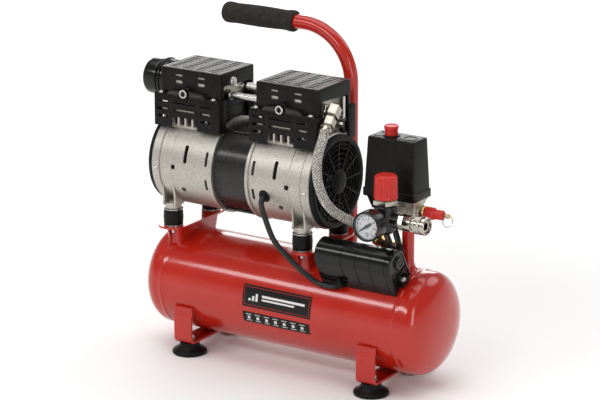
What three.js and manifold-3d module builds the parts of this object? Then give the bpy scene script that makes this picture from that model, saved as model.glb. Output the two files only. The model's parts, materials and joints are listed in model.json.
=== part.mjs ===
// Small oil-free air compressor: a 6 litre tank on four rubber feet, a twin-piston pump on rubber
// mounts above it, a carrying handle behind, and the pressure switch, regulator and outlet at the
// right-hand end. Millimetres, +Z up. The operator stands on the -Y side, the fittings are at +X.
// Inside the assembly group x = 0 and y = 0 are the middle of the tank and z = 0 is the floor.
import * as THREE from "three";
import { mergeVertices } from "three/addons/utils/BufferGeometryUtils.js";
import Module from "manifold-3d";

const wasm = await Module();
wasm.setup();

// ---------------------------------------------------------------- driving dimensions
const GAP = 0.3; // between two pieces that touch
const SIDES = [
  ["left", -1],
  ["right", 1],
];
const ENDS = [
  ["front", -1],
  ["rear", 1],
];

const TANK = { radius: 70, wall: 2.5, z: 92, barrelHalf: 186, domeStart: 194, half: 228, lip: 8 };
const ROUND = 32; // sides of the largest round pieces
const MEDIUM = 16; // of pieces the size of a knob
const FEW = 12; // of feet and rubber mounts
const SMALL = 10; // of studs and bores
const TANK_TOP = TANK.z + TANK.radius;
const FOOT = { x: 147, y: 56, neck: 13.5, flange: 24, height: 16.7, stud: 4 };
const BRACKET = { width: 29, thickness: 3.5, plateZ: 18.75, frontY: 70.6, bendZ: 51, topY: 68.2, topZ: 69 };
const DRAIN_X = 102; // on the lowest line of the tank, beside the right foot bracket

const PUMP_X = -74; // middle of the stator
const MOTOR_Z = 264; // shaft height
const MOUNT = { x: 105.5, y: 45, radius: 13.3, bottom: 177, top: 201, stud: 3.5 };
const SADDLE = { halfX: 20, halfY: 64, skirtX: 16.5, skirtY: 58, plate: 3, skirtBottom: 130 };
const CASE = { inner: 60.5, outer: 64, start: 27, end: 127, platformZ: 327.5 };
const STATOR = { outer: 61, inner: 46, half: 26.7 };
const BORE_X = 77.5; // cylinder axis, measured from the middle of the pump
const BORE_RADIUS = 27.5;
const CRANK = { throw: 6, radius: 11, ring: 24, ringWall: 5, half: 5 };
const PISTON = { bottom: 336, top: 343, radius: 26.9 };
const CYLINDER_TOP = 352;
const HEAD = { halfX: 40, halfY: 36, top: 388 };
const LINK = { y: -19, z: 365.4, radius: 5 }; // pipe from head to head, and the outlet port
const SHROUD = {
  halfX: 49.5, halfY: 40.5, top: 396, ledge: 361, bottom: 316, wall: 2.2,
  skirtLeft: -55.5, skirtRight: 52.5, skirtY: 49, skirtBack: 31, archY: 33, archTop: 379,
};
const GRILLE = { radius: 63.5, ring: 8.5, hub: 17, thickness: 3, rim: 6.7, spokes: 12 };
const FILTER = { z: 370, left: -245.4, cap: 25, flange: 28 };

const HANDLE = { x: 28.5, y: 80, bottom: 74, top: 452.5, bend: 75, outer: 9.8, inner: 8, end: -172 };
const GRIP = { left: -176.5, right: -60, radius: 14.2 };

const COLUMN_X = 168; // riser pipe, manifold and safety valve
const FITTINGS_Z = 244;
const SWITCH = { left: 110.6, right: 189, halfY: 22.4, lipBottom: 260, lipTop: 271, top: 340 };
const SWITCH_TOP = { left: 115, right: 184.6, halfY: 18.5 };
const KNOB_X = 140.5;
const REGULATOR = { x: 165.4, y: -54 };
const GAUGE = { z: 245.6, front: -104, back: -79.8, radius: 19.8, zeroAngle: 215 };
const COUPLER = { start: 188.3, sleeve: 211.3, end: 228.4, bore: 5.2 };
const PULL_RING = { x: 227.2, radius: 7.6, wire: 0.65, twist: 30 }; // hangs from the safety valve's pin
const CHECK_VALVE_X = 141;
const CAPACITOR = { left: 66, right: 182, tilt: 29.4, radius: 21.4, axisY: -50.6, axisZ: 181.4, depth: 36 };

// The overall box is centred over the origin by this shift of the whole assembly.
const REAR_MOST = HANDLE.y + 15;
const LEFT_MOST = FILTER.left;
const RIGHT_MOST = PULL_RING.x + PULL_RING.radius * Math.sin((PULL_RING.twist * Math.PI) / 180) + PULL_RING.wire;
const CENTRE_X = (LEFT_MOST + RIGHT_MOST) / 2;
const CENTRE_Y = (GAUGE.front + REAR_MOST) / 2;

// ---------------------------------------------------------------- finishes
const finish = (color, roughness, metalness) =>
  new THREE.MeshStandardMaterial({ color, roughness, metalness });
const redPaint = finish(0xbb2a26, 0.28, 0.0);
const redPlastic = finish(0xd0322c, 0.4, 0.0);
const castAluminium = finish(0xb0a9a0, 0.55, 0.85);
const blackPlastic = finish(0x161514, 0.42, 0.0);
const blackPaint = finish(0x131211, 0.3, 0.2);
const rubber = finish(0x111010, 0.75, 0.0);
const foam = finish(0x302b28, 0.9, 0.0);
const nickel = finish(0xb9b4ab, 0.22, 1.0);
const steel = finish(0x8f8f8d, 0.35, 1.0);
const brass = finish(0xb08a4a, 0.3, 1.0);
const cableJacket = finish(0x1b1a18, 0.5, 0.0);
const needleBlack = finish(0x0c0c0c, 0.5, 0.0);

// ---------------------------------------------------------------- solid modelling helpers
// A closed three.js geometry as a manifold-3d solid, with its faces turned outwards.
function solid(geometry) {
  const bare = geometry.index ? geometry.toNonIndexed() : geometry.clone();
  bare.deleteAttribute("normal");
  bare.deleteAttribute("uv");
  const merged = mergeVertices(bare, 1e-4);
  const vertProperties = merged.attributes.position.array;
  const triVerts = new Uint32Array(merged.index.array);
  const made = new wasm.Manifold(new wasm.Mesh({ numProp: 3, vertProperties, triVerts }));
  if (made.volume() > 0) return made;
  triVerts.reverse();
  return new wasm.Manifold(new wasm.Mesh({ numProp: 3, vertProperties, triVerts }));
}

const join = (...parts) => parts.reduce((all, part) => all.add(part));
const cut = (body, ...tools) => tools.reduce((left, tool) => left.subtract(tool), body);

function geometryOf(manifold) {
  const mesh = manifold.getMesh();
  const geometry = new THREE.BufferGeometry();
  geometry.setAttribute("position", new THREE.BufferAttribute(new Float32Array(mesh.vertProperties), 3));
  geometry.setIndex(new THREE.BufferAttribute(new Uint32Array(mesh.triVerts), 1));
  geometry.computeVertexNormals();
  return geometry;
}

// Adds one named piece to a group. mirror -1 turns it over in X.
function piece(group, name, shape, material, position = [0, 0, 0], mirror = 1) {
  const mesh = new THREE.Mesh(geometryOf(shape), material);
  mesh.name = name;
  mesh.position.set(...position);
  mesh.scale.x = mirror;
  group.add(mesh);
  return mesh;
}

function block([x0, x1], [y0, y1], [z0, z1]) {
  const box = new THREE.BoxGeometry(x1 - x0, y1 - y0, z1 - z0);
  box.translate((x0 + x1) / 2, (y0 + y1) / 2, (z0 + z1) / 2);
  return solid(box);
}

// A solid of revolution about the x, y or z axis through the origin; the profile lists
// [place along the axis, radius].
function spin(profile, axis, segments = MEDIUM) {
  const points = profile.map(([along, radius]) => new THREE.Vector2(radius, along));
  const lathe = new THREE.LatheGeometry(points, segments);
  if (axis === "x") lathe.rotateZ(-Math.PI / 2);
  if (axis === "z") lathe.rotateX(Math.PI / 2);
  return solid(lathe);
}

const ring = (from, to, inner, outer) => [
  [from, inner], [from, outer], [to, outer], [to, inner], [from, inner],
];

// A round bar between two points; six sides make a hexagon.
function bar(from, to, radius, sides = SMALL) {
  const start = new THREE.Vector3(...from);
  const end = new THREE.Vector3(...to);
  const shape = new THREE.CylinderGeometry(radius, radius, start.distanceTo(end), sides);
  const along = end.clone().sub(start).normalize();
  shape.applyQuaternion(new THREE.Quaternion().setFromUnitVectors(new THREE.Vector3(0, 1, 0), along));
  shape.translate(...start.add(end).multiplyScalar(0.5).toArray());
  return solid(shape);
}

function roundedRectangle(halfX, halfY, radius) {
  const shape = new THREE.Shape();
  shape.moveTo(halfX, -halfY + radius);
  shape.absarc(halfX - radius, halfY - radius, radius, 0, Math.PI / 2);
  shape.absarc(-halfX + radius, halfY - radius, radius, Math.PI / 2, Math.PI);
  shape.absarc(-halfX + radius, -halfY + radius, radius, Math.PI, 1.5 * Math.PI);
  shape.absarc(halfX - radius, -halfY + radius, radius, 1.5 * Math.PI, 2 * Math.PI);
  return shape;
}

// A rounded rectangle that changes size evenly from z0 to z1.
function taper([bottomX, bottomY], [topX, topY], z0, z1, corner, centreX = 0, centreY = 0) {
  const outline = roundedRectangle(topX, topY, corner);
  const shape = new THREE.ExtrudeGeometry(outline, { depth: 1, bevelEnabled: false, curveSegments: 2 });
  const place = shape.attributes.position;
  for (let i = 0; i < place.count; i += 1) {
    const up = place.getZ(i);
    const scaleX = THREE.MathUtils.lerp(bottomX / topX, 1, up);
    const scaleY = THREE.MathUtils.lerp(bottomY / topY, 1, up);
    const z = THREE.MathUtils.lerp(z0, z1, up);
    place.setXYZ(i, centreX + place.getX(i) * scaleX, centreY + place.getY(i) * scaleY, z);
  }
  return solid(shape);
}

// An outline in (y, z), or a THREE.Shape of one, carried along x.
function extrudeAlongX(outline, x0, x1, curveSegments = 4) {
  const isShape = outline instanceof THREE.Shape;
  const shape = isShape ? outline : new THREE.Shape(outline.map((p) => new THREE.Vector2(...p)));
  const body = new THREE.ExtrudeGeometry(shape, { depth: x1 - x0, bevelEnabled: false, curveSegments });
  const turn = new THREE.Matrix4().makeBasis(
    new THREE.Vector3(0, 1, 0),
    new THREE.Vector3(0, 0, 1),
    new THREE.Vector3(1, 0, 0),
  );
  body.applyMatrix4(turn);
  body.translate(x0, 0, 0);
  return solid(body);
}

// A path straight through a list of points, which takes exactly one step from point to point.
class PointPath extends THREE.Curve {
  constructor(points) {
    super();
    this.points = points;
  }
  getPoint(t, target = new THREE.Vector3()) {
    const last = this.points.length - 1;
    const i = Math.min(Math.floor(t * last), last - 1);
    return target.lerpVectors(this.points[i], this.points[i + 1], t * last - i);
  }
  getPointAt(u, target) {
    return this.getPoint(u, target);
  }
  getTangentAt(u, target = new THREE.Vector3()) {
    const last = this.points.length - 1;
    const i = Math.round(u * last);
    const before = this.points[Math.max(i - 1, 0)];
    const after = this.points[Math.min(i + 1, last)];
    return target.copy(after).sub(before).normalize();
  }
}

// A round tube through the points of a list, with an optional bore.
function tube(points, radius, sides, bore = 0) {
  const section = new THREE.Shape();
  section.absarc(0, 0, radius, 0, 2 * Math.PI);
  if (bore > 0) {
    const hole = new THREE.Path();
    hole.absarc(0, 0, bore, 0, 2 * Math.PI, true);
    section.holes.push(hole);
  }
  const extrudePath = new PointPath(points);
  const options = { steps: points.length - 1, extrudePath, curveSegments: sides / 2 };
  return solid(new THREE.ExtrudeGeometry(section, options));
}

// A smooth cord through hand-chosen points, with one step every `step` millimetres. Each end
// starts with a short straight piece, so that its face is square to what it meets.
function cord(route, radius, step, sides) {
  const knots = route.map((p) => new THREE.Vector3(...p));
  const curve = new THREE.CatmullRomCurve3(knots, false, "centripetal");
  const points = curve.getSpacedPoints(Math.round(curve.getLength() / step));
  const stub = 2;
  const straight = (end, inner) => inner.clone().sub(end).setLength(stub).add(end);
  points.splice(1, 0, straight(knots[0], knots[1]));
  points.splice(-1, 0, straight(knots.at(-1), knots.at(-2)));
  return tube(points, radius, sides);
}

const degrees = (angle) => (angle * Math.PI) / 180;

// ---------------------------------------------------------------- the assembly
const compressor = new THREE.Group();
const assembly = new THREE.Group();
assembly.position.set(-CENTRE_X, -CENTRE_Y, 0);
compressor.add(assembly);

// ---------------------------------------------------------------- tank
function tankBarrel() {
  const { radius, wall, barrelHalf, z } = TANK;
  const boss = { radius: 9, bottom: 15, bore: 5.2 };
  const shell = spin(ring(-barrelHalf, barrelHalf, radius - wall, radius), "x", ROUND).translate([0, 0, z]);
  const drainBoss = bar([DRAIN_X, 0, boss.bottom], [DRAIN_X, 0, z - radius + wall / 2], boss.radius);
  return cut(
    join(shell, drainBoss),
    bar([DRAIN_X, 0, 0], [DRAIN_X, 0, z - 40], boss.bore),
    bar([COLUMN_X, 0, z], [COLUMN_X, 0, TANK_TOP + 9], 8.7, MEDIUM),
    bar([CHECK_VALVE_X, 0, z], [CHECK_VALVE_X, 0, TANK_TOP + 9], 8.5, MEDIUM),
  );
}

// A pressed end: a domed shell whose lip fits inside the barrel. Built for the +X end.
function tankEnd() {
  const { radius, wall, barrelHalf, domeStart, half, lip } = TANK;
  const roundness = 2.3; // exponent of the dome's outline, 2 is an ellipse
  const dome = (r, depth, steps) =>
    Array.from({ length: steps + 1 }, (_, i) => {
      const t = (i / steps) * (Math.PI / 2);
      return [domeStart + depth * Math.sin(t) ** (2 / roundness), r * Math.cos(t) ** (2 / roundness)];
    });
  const lipOuter = radius - wall - GAP;
  const lipInner = lipOuter - wall;
  const profile = [
    ...dome(lipInner, half - domeStart - wall, 3).reverse().map(([x, r]) => [x, Math.max(r, 0)]),
    [barrelHalf - lip, lipInner],
    [barrelHalf - lip, lipOuter],
    [barrelHalf + GAP, lipOuter],
    [barrelHalf + GAP, radius],
    ...dome(radius, half - domeStart, 6),
  ];
  profile[0][1] = 0;
  profile[profile.length - 1][1] = 0;
  return spin(profile, "x", ROUND);
}

// One strap bent into a U under the tank, its tabs welded to the tank's front and rear.
function footBracket() {
  const { width, thickness, plateZ, frontY, bendZ, topY, topZ } = BRACKET;
  const corner = 6;
  const half = [
    [-topY, topZ], [-frontY, bendZ], [-frontY, plateZ + corner],
    [-frontY + corner * 0.3, plateZ + corner * 0.3], [-frontY + corner, plateZ],
  ];
  const centre = [...half, ...half.map(([y, z]) => [-y, z]).reverse()];
  const offset = (side) =>
    centre.map(([y, z], i) => {
      const [y0, z0] = centre[Math.max(i - 1, 0)];
      const [y1, z1] = centre[Math.min(i + 1, centre.length - 1)];
      const length = Math.hypot(y1 - y0, z1 - z0);
      const shift = (side * thickness) / 2 / length;
      return [y - (z1 - z0) * shift, z + (y1 - y0) * shift];
    });
  const strap = extrudeAlongX([...offset(-1), ...offset(1).reverse()], -width / 2, width / 2);
  return cut(
    strap,
    bar([0, -FOOT.y, 0], [0, -FOOT.y, 30], FOOT.stud + 0.4),
    bar([0, FOOT.y, 0], [0, FOOT.y, 30], FOOT.stud + 0.4),
  );
}

function foot() {
  const { neck, flange, height, stud } = FOOT;
  return spin(
    [
      [0, 0], [0, flange - 1], [1.2, flange], [4.5, flange], [7.5, flange - 5], [11, neck + 1],
      [height, neck], [height, stud], [29, stud], [29, 0],
    ],
    "z",
    FEW,
  );
}

// A pressed saddle: a flat plate for two rubber mounts over a tapered skirt that fits the tank.
function pumpSaddle() {
  const { halfX, halfY, skirtX, skirtY, plate, skirtBottom } = SADDLE;
  const top = MOUNT.bottom;
  const under = top - plate;
  const narrow = 0.72;
  const skirt = cut(
    taper([skirtX * narrow, skirtY * narrow], [skirtX, skirtY], skirtBottom, under, 11),
    taper(
      [skirtX * narrow - plate, skirtY * narrow - plate], [skirtX - plate, skirtY - plate],
      skirtBottom - 1, under, 8,
    ),
  );
  const flat = taper([halfX, halfY], [halfX, halfY], under, top, halfX - 0.5);
  const reach = halfX + 10;
  const hole = MOUNT.stud + 0.5;
  return cut(
    join(skirt, flat),
    bar([-reach, 0, TANK.z], [reach, 0, TANK.z], TANK.radius + 2 * GAP, ROUND),
    bar([0, -MOUNT.y, under - 5], [0, -MOUNT.y, top + 5], hole),
    bar([0, MOUNT.y, under - 5], [0, MOUNT.y, top + 5], hole),
  );
}

function mount() {
  const { radius, bottom, top, stud } = MOUNT;
  const studBelow = bottom - 11;
  const studAbove = top + 8;
  return spin(
    [
      [studBelow, 0], [studBelow, stud], [bottom + GAP, stud], [bottom + GAP, radius],
      [(bottom + top) / 2, radius + 0.4], [top, radius - 0.3], [top, stud], [studAbove, stud], [studAbove, 0],
    ],
    "z",
    FEW,
  );
}

function buildTank() {
  piece(assembly, "tank_barrel", tankBarrel(), redPaint);
  const end = tankEnd();
  const bracket = footBracket();
  const rubberFoot = foot();
  for (const [side, sign] of SIDES) {
    piece(assembly, `tank_end_${side}`, end, redPaint, [0, 0, TANK.z], sign);
    piece(assembly, `foot_bracket_${side}`, bracket, redPaint, [sign * FOOT.x, 0, 0]);
    for (const [place, forward] of ENDS)
      piece(assembly, `foot_${place}_${side}`, rubberFoot, rubber, [sign * FOOT.x, forward * FOOT.y, 0]);
  }
}

function buildMounts() {
  const saddle = pumpSaddle();
  const rubberMount = mount();
  for (const [side, sign] of SIDES) {
    const x = PUMP_X + sign * MOUNT.x;
    piece(assembly, `pump_saddle_${side}`, saddle, redPaint, [x, 0, 0]);
    for (const [place, forward] of ENDS)
      piece(assembly, `mount_${place}_${side}`, rubberMount, rubber, [x, forward * MOUNT.y, 0]);
  }
}

// ---------------------------------------------------------------- pump
// A vent through the crankcase wall: place along the shaft, angle from the top towards the
// front, width along the shaft and length round the case.
const VENTS = [
  [38, 72.8, 4.2, 20],
  [38.3, 105.5, 4.2, 16],
  [72.5, 71, 5.6, 25],
  [92, 89.3, 7, 7],
  [79, 118.5, 7, 7],
  [56, 105.6, 9.4, 9.4],
];

function ventCutter([x, angle, width, length], forward) {
  const wall = new THREE.BoxGeometry(width, length, 12);
  wall.translate(0, 0, (CASE.inner + CASE.outer) / 2);
  wall.rotateX(-forward * degrees(angle));
  wall.translate(x, 0, MOTOR_Z);
  return solid(wall);
}

// One half of the pump's housing, for the +X side: a cast drum with a bearing wall towards the
// stator, a platform for the cylinder, two feet and vents.
function crankcase() {
  const { inner, outer, start, end, platformZ } = CASE;
  const flange = outer + 2.5;
  const bearingWall = [32, 36];
  const drum = spin(
    [
      [start, inner], [start, flange], [start + 4, flange], [start + 4, outer],
      [end, outer], [end, inner], [bearingWall[1], inner], [bearingWall[1], 8.5],
      [bearingWall[0], 8.5], [bearingWall[0], inner], [start, inner],
    ],
    "x",
    ROUND,
  ).translate([0, 0, MOTOR_Z]);
  const platform = block([BORE_X - 39, BORE_X + 39], [-38, 38], [300, platformZ]);
  const feet = ENDS.map(([, forward]) =>
    join(
      bar([MOUNT.x, forward * MOUNT.y, MOUNT.top + GAP], [MOUNT.x, forward * MOUNT.y, 206], 12.8),
      block([MOUNT.x - 9, MOUNT.x + 9], [forward * 45 - 11, forward * 45 + 11], [203, 235]),
    ),
  );
  const hollow = bar([bearingWall[1], 0, MOTOR_Z], [end + 1, 0, MOTOR_Z], inner, ROUND);
  const clearAbove = block([BORE_X - 40, BORE_X + 40], [-50, 50], [platformZ, platformZ + 20]);
  const mouth = bar([BORE_X, 0, 300], [BORE_X, 0, 340], BORE_RADIUS + 1, MEDIUM);
  const studs = ENDS.map(([, forward]) =>
    bar([MOUNT.x, forward * MOUNT.y, 190], [MOUNT.x, forward * MOUNT.y, 212], MOUNT.stud + 0.4),
  );
  const vents = VENTS.flatMap((vent) => [ventCutter(vent, -1), ventCutter(vent, 1)]);
  return cut(join(drum, platform, ...feet), hollow, clearAbove, mouth, ...studs, ...vents);
}

// Rotor core, shaft and the two crank discs, a half turn apart.
function rotorShaft() {
  const shaft = spin([[-121, 0], [-121, 7.5], [121, 7.5], [121, 0]], "x", MEDIUM);
  const core = bar([-24, 0, 0], [24, 0, 0], STATOR.inner - 1, ROUND);
  const cranks = SIDES.map(([, sign]) => {
    const y = sign * CRANK.throw;
    const x = sign * BORE_X;
    return bar([x - CRANK.half, y, 0], [x + CRANK.half, y, 0], CRANK.radius, MEDIUM);
  });
  return join(shaft, core, ...cranks);
}

function coolingFan() {
  const hub = bar([108, 0, 0], [119, 0, 0], 16, MEDIUM);
  const blades = 7;
  const bladeLength = 38;
  const made = Array.from({ length: blades }, (_, i) => {
    const blade = new THREE.BoxGeometry(1.8, 14, bladeLength);
    blade.rotateZ(degrees(50));
    blade.translate(113.5, 0, 14 + bladeLength / 2);
    blade.rotateX((i / blades) * 2 * Math.PI);
    return solid(blade);
  });
  return cut(join(hub, ...made), bar([100, 0, 0], [125, 0, 0], 7.5 + 2 * GAP, MEDIUM));
}

// The cover over the fan: a rim, openings between the spokes, and a domed hub.
function fanGrille() {
  const { radius, ring: rimWidth, hub, thickness, rim, spokes } = GRILLE;
  const arc = (r, from, to, steps) =>
    Array.from({ length: steps + 1 }, (_, i) => {
      const angle = THREE.MathUtils.lerp(from, to, i / steps);
      return new THREE.Vector2(r * Math.cos(angle), r * Math.sin(angle));
    });
  const face = new THREE.Shape(arc(radius - rimWidth / 2, 0, 2 * Math.PI, ROUND).slice(1));
  const inside = hub + 1;
  const outside = radius - rimWidth;
  const spread = (r) => Math.PI / spokes - 1.1 / r; // half an opening, the spokes are 2.2 wide
  for (let i = 0; i < spokes; i += 1) {
    const middle = (i / spokes) * 2 * Math.PI;
    const far = arc(outside, middle - spread(outside), middle + spread(outside), 2);
    const near = arc(inside, middle + spread(inside), middle - spread(inside), 1);
    face.holes.push(new THREE.Path([...far, ...near]));
  }
  const plate = new THREE.ExtrudeGeometry(face, { depth: thickness, bevelEnabled: false });
  plate.rotateY(Math.PI / 2);
  const start = CASE.end + GAP;
  plate.translate(start + rim - thickness, 0, 0);
  const rimRing = spin(ring(start, start + rim, radius - rimWidth + 1, radius), "x", ROUND);
  const dome = spin(
    [[start + rim - thickness, 0], [start + rim - thickness, hub + 1], [start + rim + 2, hub],
      [start + rim + 5.5, hub - 5], [start + rim + 6.5, 0]],
    "x",
    MEDIUM,
  );
  return join(solid(plate), rimRing, dome);
}

// Piston and rod in one, with a wide eye round the crank disc.
function piston() {
  const { ring: eye, ringWall, half } = CRANK;
  const { bottom, top, radius } = PISTON;
  const bigEnd = spin(ring(-half + 1, half - 1, eye, eye + ringWall), "x", MEDIUM).translate([0, 0, MOTOR_Z]);
  const rod = block([-4, 4], [-8, 8], [MOTOR_Z + eye + 1, bottom + 1]);
  const crown = bar([0, 0, bottom], [0, 0, top], radius, MEDIUM);
  return join(bigEnd, rod, crown);
}

// Finned barrel between crankcase and head.
function cylinder() {
  const bottom = CASE.platformZ + GAP;
  const fins = Array.from({ length: 6 }, (_, i) => {
    const x = (i - 2.5) * 11.4;
    return block([x - 1.6, x + 1.6], [-39, 39], [bottom, CYLINDER_TOP]);
  });
  return cut(
    join(
      bar([0, 0, bottom], [0, 0, CYLINDER_TOP], BORE_RADIUS + 4, MEDIUM),
      block([-38, 38], [-37, 37], [bottom, bottom + 4]),
      block([-39, 39], [-37, 37], [CYLINDER_TOP - 3, CYLINDER_TOP]),
      ...fins,
    ),
    bar([0, 0, bottom - 5], [0, 0, CYLINDER_TOP + 5], BORE_RADIUS, MEDIUM),
  );
}

// Cast head with cooling fins; ports lists [side, y, z, boss length, bore].
function cylinderHead(ports) {
  const { halfX, halfY, top } = HEAD;
  const bottom = CYLINDER_TOP + GAP;
  const finFoot = top - 9;
  const fins = Array.from({ length: 7 }, (_, i) => {
    const x = (i - 3) * 11;
    return block([x - 1.8, x + 1.8], [-halfY + 3, halfY - 3], [finFoot, top]);
  });
  const bosses = ports.map(([side, y, z, length]) =>
    bar([side * (halfX - 2), y, z], [side * (halfX + length), y, z], 9),
  );
  const bores = ports.map(([side, y, z, length, bore]) =>
    bar([side * (halfX - 12), y, z], [side * (halfX + length + 1), y, z], bore),
  );
  const body = block([-halfX, halfX], [-halfY, halfY], [bottom, finFoot]);
  return cut(join(body, ...bosses, ...fins), ...bores);
}

// Plastic air guide over a head: a box roof, an open arch in each side, and a slotted skirt down
// the front and the back. One skirt is built at the front and turned over for the back.
function shroud() {
  const s = SHROUD;
  const middle = (s.skirtLeft + s.skirtRight) / 2 - 3.5; // of the slots, notch and boss
  const innerY = s.skirtY - s.wall;
  const slot = (x0, x1, z, height, reach) => block([x0, x1], reach, [z - height / 2, z + height / 2]);
  const box = join(
    block([-s.halfX, s.halfX], [-s.halfY, s.halfY], [s.ledge - 9, s.top]),
    ...[-1, 1].map((f) =>
      block(
        [s.skirtLeft, s.skirtRight],
        f < 0 ? [-s.skirtY, -s.skirtBack] : [s.skirtBack, s.skirtY],
        [s.bottom, s.ledge],
      ),
    ),
  );
  const hollow = [
    block([-s.halfX + s.wall, s.halfX - s.wall], [-s.halfY + s.wall, s.halfY - s.wall],
      [s.bottom - 1, s.top - 2.5]),
    block([s.skirtLeft + s.wall, s.skirtRight - s.wall], [-innerY, innerY], [s.bottom - 1, s.ledge - s.wall]),
    block([-s.halfX - 9, s.halfX + 9], [-s.archY, s.archY], [s.bottom - 1, s.archTop]),
  ];
  const front = (f) => {
    const panel = f < 0 ? [-s.skirtY - 1, -innerY + 1] : [innerY - 1, s.skirtY + 1];
    const wall = f < 0 ? [-s.halfY - 1, -s.halfY + 3] : [s.halfY - 3, s.halfY + 1];
    const columns = [[-44, -26.5], [-17.2, 17.2], [26.5, 43]];
    const rows = [[350.8, 1.8], [340.2, 3.6]];
    return [
      block([middle - 21, middle + 21], panel, [s.bottom - 1, s.bottom + 15]),
      ...columns.flatMap(([x0, x1]) => rows.map(([z, h]) => slot(middle + x0, middle + x1, z, h, panel))),
      ...[columns[0], columns[2]].map(([x0, x1]) => slot(middle + x0, middle + x1, 330, 3.6, panel)),
      ...[[-21.8, -8.3], [15.3, 28.3]].flatMap(([x0, x1]) => [
        slot(middle + x0, middle + x1, 387, 2.8, wall),
        slot(middle + x0, middle + x1, 377.5, 5, wall),
      ]),
    ];
  };
  const bosses = [-1, 1].map((f) =>
    join(
      bar([middle, f * 39, 365], [middle, f * (s.skirtY + 3), 365], 6.3),
      block([middle - 25, middle + 27], f < 0 ? [-46, -39] : [39, 46], [s.ledge - 1, s.ledge + 4]),
    ),
  );
  const bossBores = [-1, 1].map((f) => bar([middle, f * 44, 365], [middle, f * 60, 365], 3.6));
  const caseClearance = bar([-60, 0, MOTOR_Z], [60, 0, MOTOR_Z], CASE.outer + 3.3, ROUND);
  return cut(join(cut(box, ...hollow), ...bosses), ...bossBores, ...front(-1), ...front(1), caseClearance);
}

// Intake filter: a drum with a groove and an end cap, hollow, and a nipple into the left head.
function intakeFilter(nippleEnd) {
  const { left, cap, flange } = FILTER;
  return spin(
    [
      [left, 0], [left, cap - 2], [left + 2, cap], [left + 23, cap], [left + 23.5, cap - 3],
      [left + 26, cap - 3], [left + 26.5, flange], [left + 30, flange], [left + 30.5, flange - 2],
      [left + 43, flange - 2], [left + 43, 7.5], [nippleEnd, 7.5], [nippleEnd, 5],
      [left + 40, 5], [left + 40, flange - 5], [left + 28, cap - 6], [left + 3, cap - 4], [left + 3, 0],
    ],
    "x",
    MEDIUM,
  );
}

// Where the outlet elbow stands and which way its lower arm points.
const ELBOW = { x: PUMP_X + BORE_X + HEAD.halfX + 19, arm: new THREE.Vector3(0.17, -0.81, -0.56).normalize() };
const elbowArm = (distance) => [
  ELBOW.x + ELBOW.arm.x * distance,
  LINK.y + ELBOW.arm.y * distance,
  LINK.z + ELBOW.arm.z * distance,
];

function buildPump() {
  const half = crankcase();
  const fan = coolingFan();
  const grille = fanGrille();
  const barrel = cylinder();
  const rod = piston();
  const guide = shroud();
  const axis = [PUMP_X, 0, MOTOR_Z];
  const outletBoss = 7;
  const headPorts = {
    left: [[-1, 0, FILTER.z, 0, 8], [1, LINK.y, LINK.z, 0, LINK.radius + GAP]],
    right: [[-1, LINK.y, LINK.z, 0, LINK.radius + GAP], [1, LINK.y, LINK.z, outletBoss, 5]],
  };
  piece(assembly, "stator", spin(ring(-STATOR.half, STATOR.half, STATOR.inner, STATOR.outer), "x", ROUND),
    blackPaint, axis);
  piece(assembly, "rotor_shaft", rotorShaft(), steel, axis);
  for (const [side, sign] of SIDES) {
    const boreX = PUMP_X + sign * BORE_X;
    piece(assembly, `crankcase_${side}`, half, castAluminium, [PUMP_X, 0, 0], sign);
    piece(assembly, `fan_${side}`, fan, blackPlastic, axis, sign);
    piece(assembly, `fan_grille_${side}`, grille, blackPlastic, axis, sign);
    piece(assembly, `piston_${side}`, rod, castAluminium, [boreX, 0, 0]);
    piece(assembly, `cylinder_${side}`, barrel, castAluminium, [boreX, 0, 0]);
    piece(assembly, `cylinder_head_${side}`, cylinderHead(headPorts[side]), castAluminium, [boreX, 0, 0]);
    piece(assembly, `shroud_${side}`, guide, blackPlastic, [boreX, 0, 0]);
  }
  const insideHead = 8;
  const linkStart = PUMP_X - BORE_X + HEAD.halfX - insideHead;
  const linkEnd = PUMP_X + BORE_X - HEAD.halfX + insideHead;
  piece(assembly, "link_pipe", bar([linkStart, 0, 0], [linkEnd, 0, 0], LINK.radius), nickel,
    [0, LINK.y, LINK.z]);
  const nippleEnd = PUMP_X - BORE_X - HEAD.halfX + insideHead;
  piece(assembly, "intake_filter", intakeFilter(nippleEnd), blackPlastic, [0, 0, FILTER.z]);

  const inletStart = PUMP_X + BORE_X + HEAD.halfX + outletBoss + GAP;
  const elbow = join(
    bar([inletStart, LINK.y, LINK.z], [ELBOW.x, LINK.y, LINK.z], 7),
    bar(elbowArm(-7), elbowArm(8), 8.4, 6),
  );
  piece(assembly, "outlet_elbow", elbow, nickel);
}

// ---------------------------------------------------------------- hose and check valve
const CHECK_VALVE = { z: 187, arm: new THREE.Vector3(-0.62, -0.52, 0.59).normalize() };
const valveArm = (distance) => [
  CHECK_VALVE_X + CHECK_VALVE.arm.x * distance,
  CHECK_VALVE.arm.y * distance,
  CHECK_VALVE.z + CHECK_VALVE.arm.z * distance,
];

// The hose leaves the nut under the elbow, bows forward round the fan, and comes in behind the gauge
// straight along the arm of the check valve.
const HOSE = { radius: 6.4, step: 15 };
const HOSE_ROUTE = [
  elbowArm(26.8), elbowArm(36), [69.6, -55.6, 336.1], [70.8, -65.6, 324], [72.3, -72.6, 311.6],
  [74, -75.8, 298.2], [76.5, -76.6, 284.2], [79.5, -74.3, 270.6], [83, -68.2, 256.5], [88, -59, 244],
  [94.6, -49.3, 234.9], [101.8, -39.3, 227.6], [108.2, -30.8, 220.2], [113.8, -24, 213.6],
  valveArm(36), valveArm(30.5), valveArm(25.4),
];

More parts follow.
